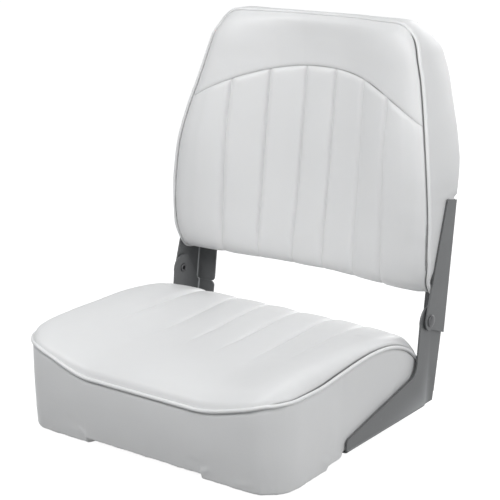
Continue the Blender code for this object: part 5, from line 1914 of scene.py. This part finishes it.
    def make_side(self) -> None:
        """The side band over the sides and the top, turned in round the rear edge."""
        places = self.side_places()
        seams = [self.place(self.form.seam(side, share)) for side, share in places]
        edges = [self.rear_point(side, share, 0, self.fold) for side, share in places]
        reached = walk(seams)
        down = [*spaced(0, 1, 26), *(1 + 0.1 * k for k in range(1, 8)), 2.0]

        def point_at(i: int, height: float) -> Vector:
            """The place of a column and a row, which passes 1 round the rear edge."""
            side, share = places[i]
            if height <= 1:
                point = seams[i].lerp(edges[i], height)
                limit = self.side_limit_x + (self.high_limit_x - self.side_limit_x) * ramp(
                    point.z, self.arm_top - 0.002, self.arm_top + 0.012)
                if abs(point.x) > limit and height > 0.02:
                    point.x = math.copysign(limit, point.x)
                return point
            if height == 2.0:
                return self.rear_point(side, share, self.wrap + 0.003, 0)
            inward, above = quarter_turn((height - 1) / 0.7)
            return self.rear_point(side, share, self.fold * inward, self.fold * above)

        def relief_at(place: Vector, i: int, height: float) -> Relief:
            """The lift of a place and its distance from the seam."""
            depth = height * (seams[i] - edges[i]).length
            if height >= 1.7:
                return 0.0, self.form.beside_cord(depth)
            free = ramp(place.z, self.arm_top + 0.004, self.arm_top + 0.03)
            lift = self.side_swell * 4 * height * (1 - height) * free if height <= 1 else 0.0
            lift += 0.0006 * sway(place, 20, 12.0) * free * ramp(depth, 0, 0.01)
            lift += 0.0006 * pucker(reached[i], depth, 31) * (0.3 + 0.7 * free)
            lift = lift if free > 0 else min(lift, 0.0)
            return lift - self.form.tuck(depth), self.form.beside_cord(depth)

        bm = panel_sheet(range(len(places)), down, point_at, relief_at, Vector((0, 0.19, 0.34)))
        self.add_cover(bm, "back_cover_side", "back_boxing", (0.075, 1.10))

    def make_piping(self) -> None:
        """The welt cord in the seam over the sides and the top, which stands out more on the right."""
        points = []
        for side, share in self.side_places():
            point = self.place(self.form.seam(side, share))
            point.x += self.cord_stand * (side if side > 0 else 1.9 * side)
            if point.z < self.arm_top:
                point.x = math.copysign(min(abs(point.x), self.piping_limit_x), point.x)
            points.append(point)
        self.add_piping(points, 7, "back_welt", "back_piping")

    def make_rear(self) -> None:
        """The panel that closes the rear, with the arms' flanges screwed through it and its stitches."""
        columns = both_ways(spaced(0, 1, 40))
        shares = spaced(0, 1, 90)

        def relief_at(place: Vector, column: float, share: float) -> Relief:
            """The lift of a place, which no seam shades."""
            length = self.form.length
            away = min((1 - abs(column)) * 0.2, share * length, (1 - share) * length)
            low = 1 - ramp(place.z, self.arm_top - 0.004, self.arm_top + 0.02)
            free = 1 - low * ramp(abs(place.x), 0.165, 0.178)
            lift = ramp(away, 0, 0.02) * free * (0.0016 + self.fullness(place))
            lift += 0.0005 * pucker(place.z if abs(column) > 0.9 else place.x, away, 33) * free
            return lift, FAR

        bm = panel_sheet(columns, shares, lambda column, share: self.rear_point(
            column, share, self.wrap, 0.0008), relief_at, Vector((0, 0.10, 0.34)))
        self.add_cover(bm, "back_cover_rear", "back_rear_panel", (0.40, 0.34))
        gathered = bmesh.new()
        points = [self.rear_point(side, share, self.wrap * 0.72, 0) for side, share in self.side_places()]
        Stitching().lay(gathered, points, [Vector((0, 1, 0))] * len(points))
        self.add_thread(gathered, "back_rear_stitches")


# Hinges and fasteners


def reach_of(node: str) -> list[float]:
    """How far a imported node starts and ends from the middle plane."""
    return sorted(abs(corner.x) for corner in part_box(node))


@dataclass
class Hinges:
    """The painted arms and brackets, and the rivets and washers at the pivots."""

    finishes: Finishes
    pivot: tuple[float, float] = (0.1602, 0.1295)
    edge: float = 0.00025
    head_radius: float = 0.0085
    head_height: float = 0.0028
    head_ease: float = 0.0004
    shank_radius: float = 0.0040
    roll_radius: float = 0.0064
    roll_height: float = 0.0012
    bore_radius: float = 0.0029
    bore_depth: float = 0.0060
    hole_radius: float = 0.0043
    washer_radius: float = 0.0095
    washer_ease: float = 0.00015
    stop: tuple[float, float] = (0.188, 0.1048)
    stop_gap: float = 0.00028
    sides: int = 40

    def build(self) -> None:
        """Makes the plates, rivets and washers of both sides."""
        for side in Side:
            for kind, body in (("upper_arm", Body.BACK), ("lower_bracket", Body.SEAT)):
                node = f"{kind}_{side.word}"
                mesh = softened_copy(node, self.edge)
                if body is Body.BACK:
                    self.stand_on_stop(mesh)
                add_piece(f"{kind}_plate_{side.word}", mesh, self.finishes.paint, body, Slot.PAINT, node)
            self.add_turned("hinge_rivet", side, self.rivet_profile(side), self.finishes.rivet)
            self.add_turned("hinge_washer", side, self.washer_profile(side), self.finishes.zinc)

    def stand_on_stop(self, mesh: Mesh) -> None:
        """Lowers the end of the arm's rear flange to the bracket's flange under it.

        Args:
            mesh: The arm's mesh.
        """
        y, z = self.stop
        for vert in mesh.vertices:
            if vert.co.y > y and vert.co.z < z:
                vert.co.z -= self.stop_gap

    def rivet_profile(self, side: Side) -> list[tuple[float, float]]:
        """A rivet with a low domed head outside, and an end rolled round its bore inside.

        Args:
            side: Its side.

        Returns:
            Its (radius, distance out) points.
        """
        low, high = reach_of(f"hinge_rivet_{side.word}")
        ease = self.head_ease
        face = high - self.head_height
        roll = low + 0.0006
        back = roll + 0.0018
        dome = [(self.head_radius * math.cos(turn), face + ease + (self.head_height - ease) * math.sin(turn))
                for turn in spaced(0, math.pi / 2, 9)[:-1]]
        middle, reach = (self.bore_radius + self.roll_radius) / 2, (self.roll_radius - self.bore_radius) / 2
        lip = [(middle + reach * math.cos(turn), roll + self.roll_height * (1 - math.sin(turn)))
               for turn in spaced(math.pi, 0, 9)]
        return [(0, roll + self.bore_depth), (self.bore_radius, roll + self.bore_depth - 0.0004), *lip,
                (self.roll_radius, back), (self.shank_radius, back), (self.shank_radius, face),
                (self.head_radius - ease, face), *dome, (0, high)]

    def washer_profile(self, side: Side) -> list[tuple[float, float]]:
        """The thin washer between the plates.

        Args:
            side: Its side.

        Returns:
            Its (radius, distance out) points.
        """
        low, high = reach_of(f"hinge_washer_{side.word}")
        hole, rim, ease = self.hole_radius, self.washer_radius, self.washer_ease
        return [(hole, low), (rim - ease, low), (rim, low + ease), (rim, high - ease), (rim - ease, high),
                (hole, high)]

    def add_turned(
        self, kind: str, side: Side, profile: Pairs, material: Material
    ) -> None:
        """Adds a piece turned about the hinge's axis.

        Args:
            kind: What it is, in the names of nodes.
            side: Its side.
            profile: Its (radius, distance out) points.
            material: Its material.
        """
        place = aimed(Vector((0, *self.pivot)), Vector((side.value, 0, 0)))
        mesh = finished_mesh(spun(profile, self.sides, place), kind, 50)
        add_piece(f"{kind}_piece_{side.word}", mesh, material, Body.SEAT, Slot.ZINC, f"{kind}_{side.word}")


@dataclass
class Fasteners:
    """The screws of the arms and brackets and the threaded inserts in the pan."""

    finishes: Finishes
    head_radius: float = 0.0060
    head_height: float = 0.0030
    shank_radius: float = 0.0022
    cross: tuple[float, float, float] = (0.0058, 0.0011, 0.0040)
    arm_lean: tuple[float, float, float] = (0, 0.1821, -0.0229)
    arm_screw: float = 0.0105
    bracket_screw: float = 0.0150
    sides: int = 32
    bore: float = 0.0033
    barrel: float = 0.0050
    flange: float = 0.0110
    flange_height: float = 0.0015
    thread_depth: float = 0.00035
    thread_turns: int = 18
    ease: float = 0.0003

    def build(self) -> None:
        """Makes every screw and insert."""
        lean = Vector(self.arm_lean).normalized()
        for side in Side:
            for number in (1, 2, 3):
                node = f"arm_screw_{side.word}_{number}"
                self.make_screw(node, lean, self.arm_screw, Body.BACK, 0.3 * number)
            for end, turn in (("front", 0.7), ("rear", 0.2)):
                node = f"bracket_screw_{side.word}_{end}"
                self.make_screw(node, Vector((0, 0, -1)), self.bracket_screw, Body.SEAT, turn)
        for end in ("front", "rear"):
            for side in Side:
                self.make_insert(f"t_nut_{end}_{side.word}")

    def make_screw(self, node: str, out: Vector, length: float, body: Body, turn: float) -> None:
        """A pan-head screw with a cross recess.

        Args:
            node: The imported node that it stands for.
            out: The direction its head looks in.
            length: The length under its head.
            body: The body that it rides on.
            turn: How far the cross is turned, in radians.
        """
        low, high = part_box(node)
        seat = (low + high) / 2 + out * (length - self.head_height) / 2
        head, top, shank, ease = self.head_radius, self.head_height, self.shank_radius, self.ease
        profile = [(0, -length), (shank * 0.3, -length), (shank, -length + 0.003), (shank, ease),
                   (head - ease, ease), (head, 0.0006), (head, 0.0013), (head * 0.94, 0.0021),
                   (head * 0.78, 0.0027), (head * 0.45, top), (0, top + 0.0001)]
        bm = bmesh.new()
        for angle in (turn, turn + math.pi / 2):
            turned = Matrix.Rotation(angle, 4, "Z")
            add_block(bm, self.cross, Matrix.Translation((0, 0, top + 0.0004)) @ turned)
        cutter = linked("cross", finished_mesh(bm, "cross"))
        plain = finished_mesh(spun(profile, self.sides, Matrix.Identity(4)), node)
        settings = {"operation": "DIFFERENCE", "object": cutter, "solver": "EXACT", "use_self": True}
        mesh = evaluated(plain, "BOOLEAN", settings)
        bpy.data.objects.remove(cutter)
        mesh.transform(aimed(seat, out))
        add_piece(f"{node}_piece", mesh, self.finishes.zinc, body, Slot.ZINC, node)

    def make_insert(self, node: str) -> None:
        """A threaded insert: a barrel with a flange on the deck and a thread in its bore.

        Args:
            node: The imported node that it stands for.
        """
        low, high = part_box(node)
        middle = (low + high) / 2
        wide, ease, shelf = self.bore + 0.0004, self.ease, high.z - self.flange_height
        levels = spaced(high.z - 0.0008, low.z + 0.0008, self.thread_turns)
        thread = [(self.bore + (self.thread_depth if k % 2 else 0.0), z) for k, z in enumerate(levels)]
        profile = [(wide, low.z), (self.barrel - ease, low.z), (self.barrel, low.z + ease),
                   (self.barrel, shelf), (self.flange, shelf), (self.flange, high.z - ease),
                   (self.flange - ease, high.z), (wide, high.z), *thread]
        mesh = finished_mesh(spun(profile, 28, Matrix.Translation((middle.x, middle.y, 0))), node, 35)
        add_piece(f"{node}_piece", mesh, self.finishes.zinc, Body.SEAT, Slot.ZINC, node)


@dataclass
class Mouldings:
    """The pan and the shell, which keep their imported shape."""

    finishes: Finishes

    def build(self) -> None:
        """Dresses the pan and the shell."""
        for node in ("seat_pan", "back_shell"):
            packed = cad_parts[node]
            packed.data.materials.clear()
            packed.data.materials.append(self.finishes.moulding)
            log.info("%s: dressed", node)


# Studio


@dataclass
class Studio:
    """A plain white studio: camera, soft lamps, floor and world."""

    azimuth: float = 36.467
    elevation: float = 15.5102
    distance: float = 1.9739
    target: tuple[float, float, float] = (0.0, 0.0025, 0.244)
    focal_px: float = 1491.5749
    centre_px: tuple[float, float] = (232.5522, 238.6923)
    frame_px: float = 500.0
    sensor: float = 36.0
    lamps: tuple[tuple, ...] = (
        ("key", (-0.35, -0.75, 1.10), 0.8, 5.9),
        ("second", (0.45, -0.55, 1.05), 0.7, 3.3),
        ("side", (1.7, -0.35, 0.90), 1.2, 5.5),
        ("high", (1.5, 0.30, 0.80), 1.0, 4.3),
        ("top", (-0.1, -1.30, 2.00), 1.3, 3.6),
        ("rear", (0.15, 1.90, 0.80), 1.5, 17.0),
    )
    lamps_aim: float = 0.22
    floor_z: float = -0.0061
    floor_size: float = 6
    floor_grey: float = 0.35
    floor_glow: float = 0.94
    world_light: float = 0.215
    world_tint: tuple[float, float, float] = (0.91, 0.96, 1.0)

    def build(self) -> None:
        """Makes the camera, the lamps, the floor and the world."""
        bpy.context.scene.view_settings.view_transform = "Standard"
        self.make_camera()
        self.make_lamps()
        self.make_floor()
        self.make_world()

    def make_camera(self) -> None:
        """The camera at the photograph's viewing angle."""
        a, e = math.radians(self.azimuth), math.radians(self.elevation)
        back = Vector((math.sin(a) * math.cos(e), -math.cos(a) * math.cos(e), math.sin(e)))
        right = Vector((math.cos(a), math.sin(a), 0))
        place = Matrix((right, back.cross(right), back)).transposed().to_4x4()
        place.translation = Vector(self.target) + back * self.distance
        data = bpy.data.cameras.new("camera")
        data.sensor_width = self.sensor
        data.lens = self.focal_px * self.sensor / self.frame_px
        data.shift_x = (self.frame_px / 2 - self.centre_px[0]) / self.frame_px
        data.shift_y = (self.centre_px[1] - self.frame_px / 2) / self.frame_px
        camera = linked("camera", data)
        camera.matrix_world = place
        bpy.context.scene.camera = camera

    def make_lamps(self) -> None:
        """Large soft lamps, which all look straight down from a little above the object's middle."""
        for name, place, size, power in self.lamps:
            data = bpy.data.lights.new(name, "AREA")
            data.shape = "DISK"
            data.size = size
            data.energy = power
            here = Vector(place)
            linked(name, data).matrix_world = aimed(here, here - Vector((0, 0, self.lamps_aim)))

    def make_floor(self) -> None:
        """A white floor under the feet, which keeps the object's shadow."""
        bm = bmesh.new()
        bmesh.ops.create_grid(bm, x_segments=1, y_segments=1, size=self.floor_size)
        bmesh.ops.translate(bm, vec=(0, 0, self.floor_z), verts=bm.verts)
        mesh = finished_mesh(bm, "floor")
        floor = linked("floor", mesh)
        material = bpy.data.materials.new("floor_white")
        material.use_nodes = True
        bench = Bench(material.node_tree)
        bench.settle(material.node_tree.nodes["Principled BSDF"], {
            "Base Color": (self.floor_grey, self.floor_grey, self.floor_grey, 1),
            "Roughness": 0.9,
            "Specular IOR Level": 0.1,
            "Emission Color": (1, 1, 1, 1),
            "Emission Strength": bench.math("MULTIPLY", bench.seen_by("Camera", "Glossy"), self.floor_glow),
        })
        mesh.materials.append(material)

    def make_world(self) -> None:
        """A white world, at a low level on the object and pure white behind it."""
        world = bpy.data.worlds.new("studio")
        bpy.context.scene.world = world
        world.use_nodes = True
        bench = Bench(world.node_tree)
        seen = bench.seen_by("Camera", "Glossy", "Transmission")
        bench.settle(world.node_tree.nodes["Background"], {
            "Strength": bench.span(seen, self.world_light, 1.0),
            "Color": bench.ramp(seen, (0.0, self.world_tint), (1.0, (1.0, 1.0, 1.0))),
        })


def main() -> None:
    """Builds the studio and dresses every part."""
    logging.basicConfig(level=logging.INFO, format="%(name)s: %(message)s")
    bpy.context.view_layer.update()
    Studio().build()
    finishes = Finishes()
    for maker in (SeatCushion, BackCushion, Hinges, Fasteners, Mouldings):
        maker(finishes).build()
        log.info("%s is done", maker.__name__)


if __name__ == "__main__":
    main()
